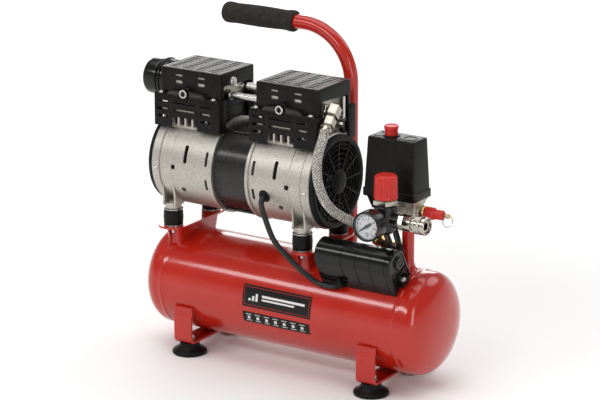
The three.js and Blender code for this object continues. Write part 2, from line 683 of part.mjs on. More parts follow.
function buildHose() {
  piece(assembly, "hose_nut_upper", bar(elbowArm(8.5), elbowArm(26.3), 8, 6), nickel);
  piece(assembly, "braided_hose", cord(HOSE_ROUTE, HOSE.radius, HOSE.step, 10), nickel);
  const nut = bar(valveArm(25), valveArm(15), 9, 6);
  const inlet = bar(valveArm(16), valveArm(0), 6.5);
  const stem = spin([[157, 0], [157, 8], [165, 8], [165, 10.5], [176, 10.5], [176, 8], [196, 8], [196, 0]], "z", MEDIUM);
  piece(assembly, "check_valve", join(nut, inlet, stem.translate([CHECK_VALVE_X, 0, 0])), brass);
}

// ---------------------------------------------------------------- handle
function buildHandle() {
  const { x, y, bottom, top, bend, outer, inner, end } = HANDLE;
  const steps = 7;
  const corner = Array.from({ length: steps + 1 }, (_, i) => {
    const turn = (i / steps) * (Math.PI / 2);
    return new THREE.Vector3(x - bend + bend * Math.cos(turn), y, top - bend + bend * Math.sin(turn));
  });
  const start = new THREE.Vector3(x, y, bottom);
  const finishPoint = new THREE.Vector3(end, y, top);
  const reach = cut(
    tube([start, ...corner, finishPoint], outer, SMALL + 2, inner),
    bar([x - 30, 0, TANK.z], [x + 30, 0, TANK.z], TANK.radius + GAP, ROUND),
  );
  piece(assembly, "handle_tube", reach, redPaint);
  const { left, right, radius } = GRIP;
  const bore = outer + GAP;
  const grip = spin(
    [
      [left, 0], [left, radius - 3], [left + 3, radius], [left + 9, radius + 0.6], [left + 20, radius - 0.2],
      [(left + right) / 2, radius + 0.5], [right - 14, radius], [right - 5, radius + 0.8],
      [right, radius - 1], [right, bore], [end - GAP, bore], [end - GAP, 0],
    ],
    "x",
    MEDIUM,
  );
  piece(assembly, "handle_grip", grip, foam, [0, y, top]);
}

// ---------------------------------------------------------------- pressure switch and fittings
function buildColumn() {
  const pipe = spin(ring(TANK_TOP - 6, 236, 5.5, 8.2), "z", MEDIUM);
  piece(assembly, "riser_pipe", pipe, redPaint, [COLUMN_X, 0, 0]);

  const z = FITTINGS_Z;
  const manifold = join(
    block([157.6, 184], [-13, 13], [236.3, 253]),
    taper([13, 13], [14.8, 19], 250, SWITCH.lipBottom - GAP, 3, 172.4),
    bar([REGULATOR.x, -12, z], [REGULATOR.x, -38.2, z], 8),
    bar([182, 0, z], [187, 0, z], 9),
  );
  piece(assembly, "manifold", cut(manifold, bar([176, 0, z], [190, 0, z], 5.4)), castAluminium);

  // Safety valve: a brass body, a red cap, a pull pin and the ring through its eye.
  const body = join(bar([187.3, 0, 0], [194, 0, 0], 8.5, 6), bar([194, 0, 0], [205, 0, 0], 4.6),
    bar([179, 0, 0], [187.4, 0, 0], 5));
  piece(assembly, "safety_valve_body", cut(body, bar([196, 0, 0], [206, 0, 0], 2.1)), brass, [0, 0, z]);
  const cap = spin(
    [
      [194.3, 5], [194.3, 8.25], [207, 8.25], [208, 6.6], [220, 6.5], [221, 5.5], [221, 2.1],
      [209.5, 2.1], [209.5, 5], [194.3, 5],
    ],
    "x",
    MEDIUM,
  );
  piece(assembly, "safety_valve_cap", cap, redPlastic, [0, 0, z]);
  const pull = PULL_RING;
  const pin = cut(
    join(bar([199, 0, 0], [225, 0, 0], 1.6), bar([pull.x, -1, 0], [pull.x, 1, 0], 3.4)),
    bar([pull.x, -3, 0], [pull.x, 3, 0], 1.7),
  );
  piece(assembly, "safety_valve_pin", pin, steel, [0, 0, z]);
  const loop = new THREE.TorusGeometry(pull.radius, pull.wire, 6, MEDIUM);
  loop.rotateY(Math.PI / 2);
  loop.translate(0, 0, -pull.radius);
  loop.rotateZ(-degrees(pull.twist));
  piece(assembly, "safety_ring", solid(loop), steel, [pull.x, 0, z]);
}

function buildSwitch() {
  const s = SWITCH;
  const middle = (s.left + s.right) / 2;
  const halfX = (s.right - s.left) / 2;
  const topMiddle = (SWITCH_TOP.left + SWITCH_TOP.right) / 2;
  const topHalfX = (SWITCH_TOP.right - SWITCH_TOP.left) / 2;
  const wall = 2;
  const upper = (inset) =>
    taper([halfX - 1.2 - inset, s.halfY - 1.2 - inset], [topHalfX - inset, SWITCH_TOP.halfY - inset],
      s.lipTop - 1 - (inset ? 11 : 0), s.top - inset, 3, topMiddle);
  const lip = taper([halfX, s.halfY], [halfX, s.halfY], s.lipBottom, s.lipTop, 2, middle);
  const lipHollow = taper([halfX - wall, s.halfY - wall], [halfX - wall, s.halfY - wall],
    s.lipBottom - 1, s.lipTop - 4, 1, middle);
  const knobBore = bar([KNOB_X, 0, s.top - 9], [KNOB_X, 0, s.top + 9], 8.9, MEDIUM);
  piece(assembly, "switch_cover", cut(join(lip, upper(0)), lipHollow, upper(wall), knobBore), blackPlastic);

  // Base plate inside the cover's lip, and the tapered cable housing under its left half.
  const base = join(
    taper([halfX - 2.6, 19.6], [halfX - 2.6, 19.6], s.lipBottom + GAP, s.lipBottom + 4, 1, middle),
    taper([16, 13.5], [22, 19], 242, s.lipBottom + 1, 3, 135),
  );
  piece(assembly, "switch_base", base, blackPlastic);

  const knob = spin(
    [[322, 0], [322, 5], [s.top - 4, 5], [s.top - 4, 8.3], [s.top + 1, 8.3], [s.top + 8, 8.5],
      [s.top + 9.5, 9.75], [s.top + 13, 9.75], [s.top + 14, 8.8], [s.top + 14, 0]],
    "z",
    MEDIUM,
  );
  piece(assembly, "switch_knob", knob, redPlastic, [KNOB_X, 0, 0]);
}

function buildRegulator() {
  const { x, y } = REGULATOR;
  const z = FITTINGS_Z;
  const housing = spin(
    [[225, 0], [225, 9], [229, 12.5], [233, 14.5], [263.6, 14.5], [263.6, 9.6], [281, 9.6], [281, 0]],
    "z",
    MEDIUM,
  ).translate([x, y, 0]);
  const ports = join(
    bar([x, y + 10, z], [x, -38.5, z], 9),
    bar([x, y - 10, GAUGE.z], [x, -77, GAUGE.z], 7),
    bar([x + 10, y, z], [188, y, z], 9),
  );
  piece(assembly, "regulator_body", join(housing, ports), blackPaint);
  const nut = cut(bar([x, y, 264], [x, y, 272], 17.5, 6), bar([x, y, 260], [x, y, 276], 10.1, MEDIUM));
  piece(assembly, "regulator_nut", nut, nickel);
  const knob = spin(
    [[272.4, 10], [272.4, 15.75], [277, 15.75], [301, 14.9], [304, 13], [304, 0], [281.5, 0], [281.5, 10],
      [272.4, 10]],
    "z",
    MEDIUM,
  );
  piece(assembly, "regulator_knob", knob, redPlastic, [x, y, 0]);

  // Gauge: a round case on a short stem, facing the operator, with its needle at zero.
  const { front, back, radius, zeroAngle } = GAUGE;
  const dialY = front + 5;
  const gaugeCase = join(
    spin(
      [[front, radius - 2.6], [front, radius - 0.5], [front + 3, radius], [back - 2.5, radius],
        [back, radius - 2.5], [back, 0], [dialY, 0], [dialY, radius - 3], [front, radius - 2.6]],
      "y",
      MEDIUM,
    ),
    bar([0, -77.3, 0], [0, back - 1, 0], 6.5, 6),
  );
  piece(assembly, "gauge_case", gaugeCase, blackPlastic, [x, 0, GAUGE.z]);
  const pointer = new THREE.Shape([[-5.5, -1], [0, -1.3], [13.5, -0.3], [13.5, 0.3], [0, 1.3], [-5.5, 1]]
    .map((p) => new THREE.Vector2(...p)));
  const plate = new THREE.ExtrudeGeometry(pointer, { depth: 0.8, bevelEnabled: false });
  plate.rotateZ(degrees(zeroAngle));
  plate.rotateX(Math.PI / 2);
  plate.translate(0, dialY - 1.2, 0);
  const needle = join(solid(plate), bar([0, dialY - 2.4, 0], [0, dialY - 0.4, 0], 2.2));
  piece(assembly, "gauge_needle", needle, needleBlack, [x, 0, GAUGE.z]);

  // Quick coupler: hexagon, inner barrel with the socket, and the sliding sleeve.
  const c = COUPLER;
  const socket = spin(
    [[196, 0], [196, 10.8], [207, 10.8], [207.5, 8.6], [225.5, 8.6], [226, c.bore + 1.2], [226, c.bore],
      [206, c.bore], [206, 0]],
    "x",
    MEDIUM,
  );
  const couplerBody = join(socket, bar([c.start, 0, 0], [196.5, 0, 0], 10.6, 6));
  piece(assembly, "coupler_body", couplerBody, nickel, [0, y, z]);
  const sleeve = spin(
    [[c.sleeve, 9], [c.sleeve, 11.6], [c.sleeve + 1, 12], [c.end - 1, 12], [c.end, 11], [c.end, 9],
      [c.sleeve, 9]],
    "x",
    MEDIUM,
  );
  piece(assembly, "coupler_sleeve", sleeve, nickel, [0, y, z]);
}

// ---------------------------------------------------------------- capacitor box and leads
function capacitorBox() {
  const { left, right, tilt, radius, axisY, axisZ, depth } = CAPACITOR;
  const outline = new THREE.Shape();
  outline.moveTo(radius, -depth);
  outline.absarc(0, 0, radius, 0, Math.PI);
  outline.lineTo(-radius, -depth);
  const tilted = (shape) => shape.rotate([tilt, 0, 0]).translate([0, axisY, axisZ]);
  const drum = extrudeAlongX(outline, left, right, 10);
  const tab = block([right - 1, right + 7], [-9, 9], [-depth + 7, -depth + 11]);
  const cap = bar([right - 1, 5, 1], [right + 2, 5, 1], 9);
  const grooves = [0, 1, 2, 3].map((i) => {
    const x = right - 8 - i * 22;
    return cut(
      extrudeAlongX(roundedRectangle(radius + 4, depth + 20, 3), x - 0.6, x + 0.6),
      extrudeAlongX(roundedRectangle(radius - 0.8, depth + 30, radius - 0.9), x - 1, x + 1)
        .translate([0, 0, -depth - 30 + radius - 0.8]),
    );
  });
  return cut(
    join(cut(tilted(drum), ...grooves.map(tilted)), tilted(tab), tilted(cap)),
    bar([left - 5, 0, TANK.z], [right + 20, 0, TANK.z], TANK.radius + GAP, ROUND),
  );
}

// Lead from the motor's grommet down over the tank to the capacitor box.
const MOTOR_LEAD = { radius: 3.75, step: 9 };
const MOTOR_LEAD_ROUTE = [
  [-18, -58.5, 247.4], [-18, -64, 246], [-16.8, -70.5, 242], [-13, -75, 234], [-6, -76.4, 219.2],
  [3.6, -76, 198], [11, -74.5, 187], [24.5, -71, 173], [39, -68, 160], [54.2, -64.6, 148.3],
  [67, -60.6, 140.5], [79, -60, 139], [91, -60, 140.6], [97.4, -58.8, 144.4],
];

// Two leads from the switch base down to the back of the capacitor box.
const SWITCH_LEAD = { radius: 4.1, step: 9 };
const SWITCH_LEAD_ROUTES = [
  [[131, -7, 241.6], [131.5, -7.3, 233], [134.5, -8.3, 222], [139.5, -10, 209.5], [147, -14, 200.5],
    [154, -20.2, 195.2], [157.5, -25.4, 192.9]],
  [[146, -6, 241.6], [146.5, -6.5, 235], [149.5, -8, 225], [153.5, -10, 215.7], [160, -14, 204.5],
    [166.5, -20.2, 196.6], [169.5, -25.4, 193.4]],
];

function buildElectrics() {
  piece(assembly, "capacitor_box", capacitorBox(), blackPlastic);
  piece(assembly, "motor_lead", cord(MOTOR_LEAD_ROUTE, MOTOR_LEAD.radius, MOTOR_LEAD.step, 8), cableJacket);
  SWITCH_LEAD_ROUTES.forEach((route, i) => {
    const name = `switch_lead_${"ab"[i]}`;
    piece(assembly, name, cord(route, SWITCH_LEAD.radius, SWITCH_LEAD.step, 8), cableJacket);
  });
}

// Condensate screw in the boss at the lowest point of the tank.
function buildDrain() {
  const screw = join(
    spin([[5, 0], [5, 7], [6, 8], [13.4, 8], [14.6, 7], [14.6, 4.8], [23, 4.8], [23, 0]], "z", MEDIUM),
    block([-1.5, 1.5], [-7, 7], [3, 6]),
  );
  piece(assembly, "drain_screw", screw, brass, [DRAIN_X, 0, 0]);
}

buildTank();
buildMounts();
buildPump();
buildHose();
buildHandle();
buildColumn();
buildSwitch();
buildRegulator();
buildElectrics();
buildDrain();

export default compressor;
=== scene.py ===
"""Looks of a small twin-piston air compressor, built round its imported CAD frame.

Shapes are written in millimetres from the middle of the tank, at floor level: the operator stands
on the -Y side and the fittings are at +X. piece() turns them into metres in the frame's own place.
"""

import json
import math

import bmesh
import bpy
from mathutils import Matrix, Vector
from mathutils.geometry import tessellate_polygon


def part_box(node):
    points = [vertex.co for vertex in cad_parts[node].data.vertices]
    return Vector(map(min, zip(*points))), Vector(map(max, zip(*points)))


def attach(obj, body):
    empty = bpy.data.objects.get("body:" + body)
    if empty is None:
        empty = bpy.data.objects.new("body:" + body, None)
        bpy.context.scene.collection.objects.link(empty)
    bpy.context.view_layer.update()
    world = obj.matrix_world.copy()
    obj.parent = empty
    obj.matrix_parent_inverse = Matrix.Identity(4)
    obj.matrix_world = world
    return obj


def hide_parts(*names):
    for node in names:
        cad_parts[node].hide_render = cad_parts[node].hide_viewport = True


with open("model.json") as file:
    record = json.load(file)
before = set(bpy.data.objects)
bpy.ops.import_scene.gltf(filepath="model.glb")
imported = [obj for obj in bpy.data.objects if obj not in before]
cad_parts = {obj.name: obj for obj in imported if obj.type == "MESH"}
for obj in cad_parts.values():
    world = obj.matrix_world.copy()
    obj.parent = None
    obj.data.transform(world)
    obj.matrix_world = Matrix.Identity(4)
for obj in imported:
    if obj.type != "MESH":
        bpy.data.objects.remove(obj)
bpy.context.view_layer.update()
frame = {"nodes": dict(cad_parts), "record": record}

MM = 0.001
FULL = 2 * math.pi
tank_low, tank_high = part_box("tank_barrel")
ORIGIN = Vector(((tank_low.x + tank_high.x) / 2, (tank_low.y + tank_high.y) / 2, 0))
BODIES = frame["record"]["behaviour"]["bodies"]
BODY_OF = {node: body for body, nodes in BODIES.items() for node in nodes}
SIDES = (("left", -1), ("right", 1))
ENDS = (("front", -1), ("rear", 1))


# ---------------------------------------------------------------- camera
def add_camera():
    data = bpy.data.cameras.new("camera")
    data.lens, data.sensor_width, data.clip_end = 154.5, 36, 100
    camera = bpy.data.objects.new("camera", data)
    camera.location = ORIGIN + Vector((1.8107, -2.7803, 1.2184))
    camera.rotation_euler = (math.radians(73.4), 0, math.radians(33.1))
    bpy.context.collection.objects.link(camera)
    bpy.context.scene.camera = camera


bpy.context.scene.view_settings.view_transform = "Standard"
add_camera()


# ---------------------------------------------------------------- shapes, in millimetres
AXES = {
    "x": Matrix(((0, 0, 1, 0), (1, 0, 0, 0), (0, 1, 0, 0), (0, 0, 0, 1))),
    "y": Matrix(((0, 1, 0, 0), (0, 0, 1, 0), (1, 0, 0, 0), (0, 0, 0, 1))),
    "z": Matrix.Identity(4),
}


def frame_along(axis):
    """Turns local +Z onto an axis letter or a direction."""
    if isinstance(axis, str):
        return AXES[axis]
    return Vector(axis).to_track_quat("Z", "X").to_matrix().to_4x4()


def closed_up(bm):
    bmesh.ops.remove_doubles(bm, verts=bm.verts, dist=1e-4)
    bmesh.ops.recalc_face_normals(bm, faces=bm.faces)
    return bm


def rounded(points, radius, steps=4, closed=False):
    """A polyline with each corner replaced by a short curve that starts `radius` away from it."""
    points = [Vector(p) for p in points]
    out = []
    for i, corner in enumerate(points):
        if not closed and i in (0, len(points) - 1):
            out.append(corner)
            continue
        before = points[i - 1] - corner
        after = points[(i + 1) % len(points)] - corner
        reach = min(radius, before.length * 0.48, after.length * 0.48)
        start = corner + before.normalized() * reach
        end = corner + after.normalized() * reach
        for k in range(steps + 1):
            t = k / steps
            out.append(start * (1 - t) ** 2 + corner * 2 * t * (1 - t) + end * t * t)
    return out


def spin(profile, axis="x", at=(0, 0, 0), steps=64, soft=0.0):
    """A surface of revolution; the profile lists (place along the axis, radius)."""
    if soft:
        profile = rounded(profile, soft, 3)
    bm = bmesh.new()
    loops = []
    for along, radius in profile:
        count = steps if radius > 1e-3 else 1
        turn = [FULL * i / steps for i in range(count)]
        loops.append(
            [bm.verts.new((radius * math.cos(a), radius * math.sin(a), along)) for a in turn]
        )
    for a, b in zip(loops, loops[1:]):
        for i in range(steps):
            j = (i + 1) % steps
            corners = [a[i % len(a)], a[j % len(a)], b[j % len(b)], b[i % len(b)]]
            corners = list(dict.fromkeys(corners))
            if len(corners) > 2:
                bm.faces.new(corners)
    bm.transform(Matrix.Translation(at) @ frame_along(axis))
    return closed_up(bm)


def rod(start, end, radius, axis="x", at=(0, 0, 0), steps=48, soft=0.0):
    """A plain round bar."""
    return spin([(start, 0), (start, radius), (end, radius), (end, 0)], axis, at, steps, soft)


def loft(sections, caps=True):
    """A skin over loops of 3-D points that all have the same count."""
    bm = bmesh.new()
    loops = [[bm.verts.new(p) for p in section] for section in sections]
    for a, b in zip(loops, loops[1:]):
        for i in range(len(a)):
            j = (i + 1) % len(a)
            bm.faces.new((a[i], a[j], b[j], b[i]))
    if caps:
        bm.faces.new(loops[0])
        bm.faces.new(loops[-1])
    return closed_up(bm)


PLANES = {
    "x": lambda a, b, c: (c, a, b),
    "y": lambda a, b, c: (a, c, b),
    "z": lambda a, b, c: (a, b, c),
}


def prism(outline, low, high, axis="z", holes=()):
    """An outline with holes, carried along an axis."""
    put = PLANES[axis]
    bm = bmesh.new()
    ends = [[], []]
    for loop in (outline, *holes):
        pair = [[bm.verts.new(put(a, b, c)) for a, b in loop] for c in (low, high)]
        for i in range(len(loop)):
            j = (i + 1) % len(loop)
            bm.faces.new((pair[0][i], pair[0][j], pair[1][j], pair[1][i]))
        ends[0] += pair[0]
        ends[1] += pair[1]
    if holes:
        loops = [[Vector((a, b, 0)) for a, b in loop] for loop in (outline, *holes)]
        for tri in tessellate_polygon(loops):
            for end in ends:
                bm.faces.new([end[i] for i in tri])
    else:
        for end in ends:
            bm.faces.new(end)
    return closed_up(bm)


def block(x, y, z, soft=0.0, steps=3):
    """A box, with all its edges rounded if soft."""
    bm = prism([(x[0], y[0]), (x[1], y[0]), (x[1], y[1]), (x[0], y[1])], *z)
    if soft:
        bmesh.ops.bevel(
            bm, geom=bm.edges[:], offset=soft, segments=steps, profile=0.5, affect="EDGES"
        )
    return bm


def rectangle(x, y, half_x, half_y, corner, steps=5):
    square = [
        (x - half_x, y - half_y), (x + half_x, y - half_y),
        (x + half_x, y + half_y), (x - half_x, y + half_y),
    ]
    return rounded(square, corner, steps, closed=True)


def circle(x, y, radius, steps=32):
    return [
        (x + radius * math.cos(FULL * i / steps), y + radius * math.sin(FULL * i / steps))
        for i in range(steps)
    ]


def smooth_path(route, per=8):
    """A centripetal Catmull-Rom curve through a list of points."""
    pts = [Vector(p) for p in route]
    pts = [pts[0] * 2 - pts[1], *pts, pts[-1] * 2 - pts[-2]]
    out = []
    for p0, p1, p2, p3 in zip(pts, pts[1:], pts[2:], pts[3:]):
        d0, d1, d2 = [max((b - a).length, 1e-6) ** 0.5 for a, b in ((p0, p1), (p1, p2), (p2, p3))]
        m1 = ((p1 - p0) / d0 - (p2 - p0) / (d0 + d1) + (p2 - p1) / d1) * d1
        m2 = ((p2 - p1) / d1 - (p3 - p1) / (d1 + d2) + (p3 - p2) / d2) * d1
        for k in range(per):
            t = k / per
            a, b = 2 * t**3 - 3 * t**2 + 1, t**3 - 2 * t**2 + t
            out.append(p1 * a + m1 * b + p2 * (1 - a) + m2 * (t**3 - t**2))
    return [*out, pts[-2]]


def travelling_frames(points):
    """Places along a path with an unturning pair of normals and the length so far."""
    out, normal, length = [], None, 0.0
    for i, p in enumerate(points):
        along = (points[min(i + 1, len(points) - 1)] - points[max(i - 1, 0)]).normalized()
        normal = normal or along.orthogonal()
        normal = (normal - along * normal.dot(along)).normalized()
        if i:
            length += (p - points[i - 1]).length
        out.append((p, normal, along.cross(normal), along, length))
    return out


def tube(points, radius, sides=20, caps=True):
    """A round tube along points. Its UV map counts millimetres along and turns around."""
    stations = travelling_frames([Vector(p) for p in points])
    bm = bmesh.new()
    uv = bm.loops.layers.uv.new("UVMap")
    rings = []
    for i, (p, normal, side, _, _) in enumerate(stations):
        r = radius(i / (len(stations) - 1)) if callable(radius) else radius
        turn = [FULL * k / sides for k in range(sides)]
        rings.append(
            [bm.verts.new(p + (normal * math.cos(a) + side * math.sin(a)) * r) for a in turn]
        )
    for j in range(1, len(stations)):
        near, far = stations[j - 1][4], stations[j][4]
        for k in range(sides):
            n = (k + 1) % sides
            face = bm.faces.new((rings[j - 1][k], rings[j - 1][n], rings[j][n], rings[j][k]))
            marks = ((near, k), (near, k + 1), (far, k + 1), (far, k))
            for loop, (u, v) in zip(face.loops, marks):
                loop[uv].uv = (u, v / sides)
    if caps:
        bm.faces.new(rings[0][::-1])
        bm.faces.new(rings[-1])
    bmesh.ops.recalc_face_normals(bm, faces=bm.faces)
    return bm


def moved(bm, matrix):
    """A copy of a shape under a matrix; a mirroring one turns its faces round."""
    made = bm.copy()
    made.transform(matrix)
    if matrix.determinant() < 0:
        bmesh.ops.reverse_faces(made, faces=made.faces)
    return made


def shifted(bm, x=0, y=0, z=0):
    return moved(bm, Matrix.Translation((x, y, z)))


def flipped(bm, sign, axis="X"):
    """Turned over in the plane across an axis if sign is negative."""
    if sign > 0:
        return bm.copy()
    normal = Vector([float(axis == a) for a in "XYZ"])
    return moved(bm, Matrix.Scale(-1, 4, normal))


def merged(*shapes):
    mesh = bpy.data.meshes.new("merged")
    bm = bmesh.new()
    bm.loops.layers.uv.new("UVMap")
    for shape in shapes:
        shape.to_mesh(mesh)
        bm.from_mesh(mesh)
    bpy.data.meshes.remove(mesh)
    return bm


def temporary(bm, name):
    mesh = bpy.data.meshes.new(name)
    bm.to_mesh(mesh)
    obj = bpy.data.objects.new(name, mesh)
    bpy.context.collection.objects.link(obj)
    return obj


def carved(body, *tools):
    """body without the space of the tools, which don't touch each other."""
    target = temporary(body, "target")
    tool = temporary(merged(*tools), "tool")
    cut = target.modifiers.new("cut", "BOOLEAN")
    cut.operation, cut.solver, cut.object = "DIFFERENCE", "EXACT", tool
    made = bmesh.new()
    made.from_object(target, bpy.context.evaluated_depsgraph_get())
    for obj in (target, tool):
        mesh = obj.data
        bpy.data.objects.remove(obj)
        bpy.data.meshes.remove(mesh)
    bmesh.ops.dissolve_limit(
        made, angle_limit=math.radians(0.5), verts=made.verts, edges=made.edges
    )
    return made


def ranged(nodes, link, value, low, high, start=0.0, end=1.0):
    """A value with its range from low to high carried onto start to end."""
    node = nodes.new("ShaderNodeMapRange")
    for socket, number in zip(("From Min", "From Max", "To Min", "To Max"), (low, high, start, end)):
        node.inputs[socket].default_value = number
    link(value, node.inputs["Value"])
    return node.outputs["Result"]


def material(name, colour, rough, metal=0.0, *, tint=None, patch=25.0, vary=0.06, grain=0.0,
             grain_size=1.0, fine=2.0, coat=0.0, shine=0.5, pattern=None, relief=0.1):
    """A procedural finish: colour patches, uneven gloss and a fine surface grain. patch and
    grain_size are in millimetres; pattern adds nodes and returns a height, a strength and a depth."""
    made = bpy.data.materials.new(name)
    made.use_nodes = True
    tree = made.node_tree
    nodes, link = tree.nodes, tree.links.new
    shader = nodes["Principled BSDF"]
    place = nodes.new("ShaderNodeTexCoord").outputs["Object"]

    def noise(size, detail):
        node = nodes.new("ShaderNodeTexNoise")
        node.inputs["Scale"].default_value = 1 / (size * MM)
        node.inputs["Detail"].default_value = detail
        link(place, node.inputs["Vector"])
        return node.outputs["Fac"]

    def bumped(height, strength, depth, under=None):
        node = nodes.new("ShaderNodeBump")
        node.inputs["Strength"].default_value = strength
        node.inputs["Distance"].default_value = depth * MM
        link(height, node.inputs["Height"])
        if under:
            link(under, node.inputs["Normal"])
        return node.outputs["Normal"]

    mix = nodes.new("ShaderNodeMix")
    mix.data_type = "RGBA"
    mix.inputs["A"].default_value = (*colour, 1)
    mix.inputs["B"].default_value = (*(tint or [c * 0.8 for c in colour]), 1)
    link(ranged(nodes, link, noise(patch, 4), 0.35, 0.65), mix.inputs["Factor"])
    link(mix.outputs["Result"], shader.inputs["Base Color"])
    low, high = max(rough - vary, 0.03), min(rough + vary, 1.0)
    link(ranged(nodes, link, noise(patch * 0.4, 5), 0.3, 0.7, low, high), shader.inputs["Roughness"])
    shader.inputs["Metallic"].default_value = metal
    shader.inputs["Coat Weight"].default_value = coat
    shader.inputs["Coat Roughness"].default_value = 0.1
    shader.inputs["Specular IOR Level"].default_value = shine
    normal = None
    if grain:
        normal = bumped(noise(grain_size, fine), grain, relief)
    if pattern:
        normal = bumped(*pattern(nodes, link), normal)
    if normal:
        link(normal, shader.inputs["Normal"])
    return made


def math_node(nodes, link, operation, *values):
    node = nodes.new("ShaderNodeMath")
    node.operation = operation
    for socket, value in zip(node.inputs, values):
        if isinstance(value, (int, float)):
            socket.default_value = value
        else:
            link(value, socket)
    return node.outputs[0]


def strands(nodes, link):
    """Fine wires side by side along each band of the braid."""
    split = nodes.new("ShaderNodeSeparateXYZ")
    link(nodes.new("ShaderNodeUVMap").outputs["UV"], split.inputs["Vector"])
    across = math_node(nodes, link, "MULTIPLY", split.outputs["Y"], FULL * 5)
    return math_node(nodes, link, "COSINE", across), 0.7, 0.12


def laminations(nodes, link):
    """Fine rings round the shaft, as of stacked steel sheets under paint."""
    split = nodes.new("ShaderNodeSeparateXYZ")
    link(nodes.new("ShaderNodeTexCoord").outputs["Object"], split.inputs["Vector"])
    wave = math_node(
        nodes, link, "SINE", math_node(nodes, link, "MULTIPLY", split.outputs["X"], FULL / (1.3 * MM))
    )
    return wave, 0.5, 0.12


red_enamel = material("red_enamel", (0.460, 0.017, 0.008), 0.22, tint=(0.420, 0.013, 0.006),
                      patch=60, vary=0.05, grain=0.06, grain_size=3.5, coat=0.65, shine=0.22, relief=0.12)
red_moulded = material("red_moulded", (0.57, 0.022, 0.016), 0.36, tint=(0.48, 0.016, 0.011),
                       patch=9, grain=0.12, grain_size=0.7, shine=0.4)
cast = material("cast_metal", (0.56, 0.53, 0.48), 0.44, 0.9, tint=(0.38, 0.355, 0.315),
                patch=1.5, vary=0.1, grain=0.9, grain_size=1.1, fine=5, relief=0.22)
machined = material("machined_metal", (0.66, 0.64, 0.60), 0.3, 0.95, patch=4,
                    grain=0.15, grain_size=0.5, relief=0.05)
black_moulded = material("black_moulded", (0.0056, 0.0050, 0.0044), 0.34,
                         tint=(0.0085, 0.0078, 0.0070), patch=14, vary=0.07, grain=0.2, grain_size=0.55,
                         fine=3, shine=0.14, relief=0.06)
# The guides' black plastic drawn lighter on the roofs: painted sheen where the top faces catch the light.
roof_painted_sheen = material("roof_painted_sheen", (0.060, 0.050, 0.044), 0.42,
                        tint=(0.034, 0.028, 0.024), patch=9, vary=0.08, grain=0.25, grain_size=0.55, fine=3,
                        shine=0.6, relief=0.06)
# The guides' black plastic drawn lighter on the ledge shelves: painted sheen where their top faces catch the
# light.
shelf_painted_sheen = material("shelf_painted_sheen", (0.020, 0.017, 0.015), 0.3,
                         tint=(0.012, 0.010, 0.009), patch=9, vary=0.08, grain=0.2, grain_size=0.6,
                         shine=0.5, relief=0.06)
black_gloss = material("black_gloss", (0.0048, 0.0044, 0.0040), 0.17,
                       tint=(0.0075, 0.0070, 0.0064), patch=22, vary=0.05, grain=0.08, grain_size=1.4,
                       coat=0.12, shine=0.26, relief=0.08)
grille_plastic = material("grille_plastic", (0.0060, 0.0054, 0.0048), 0.55,
                          tint=(0.009, 0.0083, 0.0075), patch=8, shine=0.16, grain=0.2, grain_size=0.6)
black_metal = material("black_metal", (0.0080, 0.0075, 0.0068), 0.26, 0.1,
                       tint=(0.013, 0.012, 0.011), patch=6, grain=0.15, grain_size=1.0, coat=0.1,
                       shine=0.4, relief=0.1)
core = material("painted_core", (0.0085, 0.0075, 0.0065), 0.27, 0.2,
                tint=(0.014, 0.012, 0.010), patch=12, coat=0.15, shine=0.4, pattern=laminations)
rubber = material("black_rubber", (0.0050, 0.0047, 0.0043), 0.42, tint=(0.0078, 0.0073, 0.0068),
                  patch=7, vary=0.12, grain=0.25, grain_size=0.8, fine=4, shine=0.14, relief=0.1)
foam = material("foam_rubber", (0.030, 0.025, 0.0215), 0.86, tint=(0.019, 0.016, 0.0135), patch=6,
                vary=0.06, grain=0.9, grain_size=0.75, fine=6, shine=0.25, relief=0.35)
nickel = material("nickel_plate", (0.53, 0.49, 0.43), 0.2, 1.0, tint=(0.42, 0.385, 0.33),
                  patch=5, vary=0.06, grain=0.06, grain_size=1.2, relief=0.05)
steel = material("bright_steel", (0.58, 0.57, 0.55), 0.27, 1.0, tint=(0.48, 0.47, 0.45), patch=3,
                 grain=0.1, grain_size=0.4, relief=0.04)
wire = material("woven_wire", (0.74, 0.71, 0.66), 0.24, 1.0, tint=(0.56, 0.53, 0.48),
                patch=4, pattern=strands)
under_braid = material("under_braid", (0.012, 0.011, 0.010), 0.6, 0.1, patch=4, grain=0.2)
brass = material("brass", (0.60, 0.43, 0.20), 0.25, 1.0, tint=(0.50, 0.35, 0.15), patch=4,
                 grain=0.08, grain_size=0.6, relief=0.05)
jacket = material("cable_jacket", (0.0080, 0.0073, 0.0066), 0.38,
                  tint=(0.012, 0.011, 0.010), patch=8, vary=0.1, grain=0.2, grain_size=0.6, shine=0.4,
                  relief=0.06)
dial_white = material("dial_white", (0.66, 0.67, 0.69), 0.4, tint=(0.58, 0.59, 0.62),
                      patch=8, grain=0.05)
print_black = material("print_black", (0.006, 0.006, 0.0065), 0.5, patch=3, shine=0.25)
print_red = material("print_red", (0.52, 0.025, 0.02), 0.4, patch=3, shine=0.3)
label_black = material("label_black", (0.0050, 0.0047, 0.0043), 0.34,
                       tint=(0.0075, 0.007, 0.0065), patch=18, vary=0.05, grain=0.05, grain_size=2,
                       shine=0.25)
label_pale = material("label_pale", (0.74, 0.73, 0.71), 0.4, tint=(0.66, 0.65, 0.63),
                      patch=6)
lens_clear = bpy.data.materials.new("clear_lens")


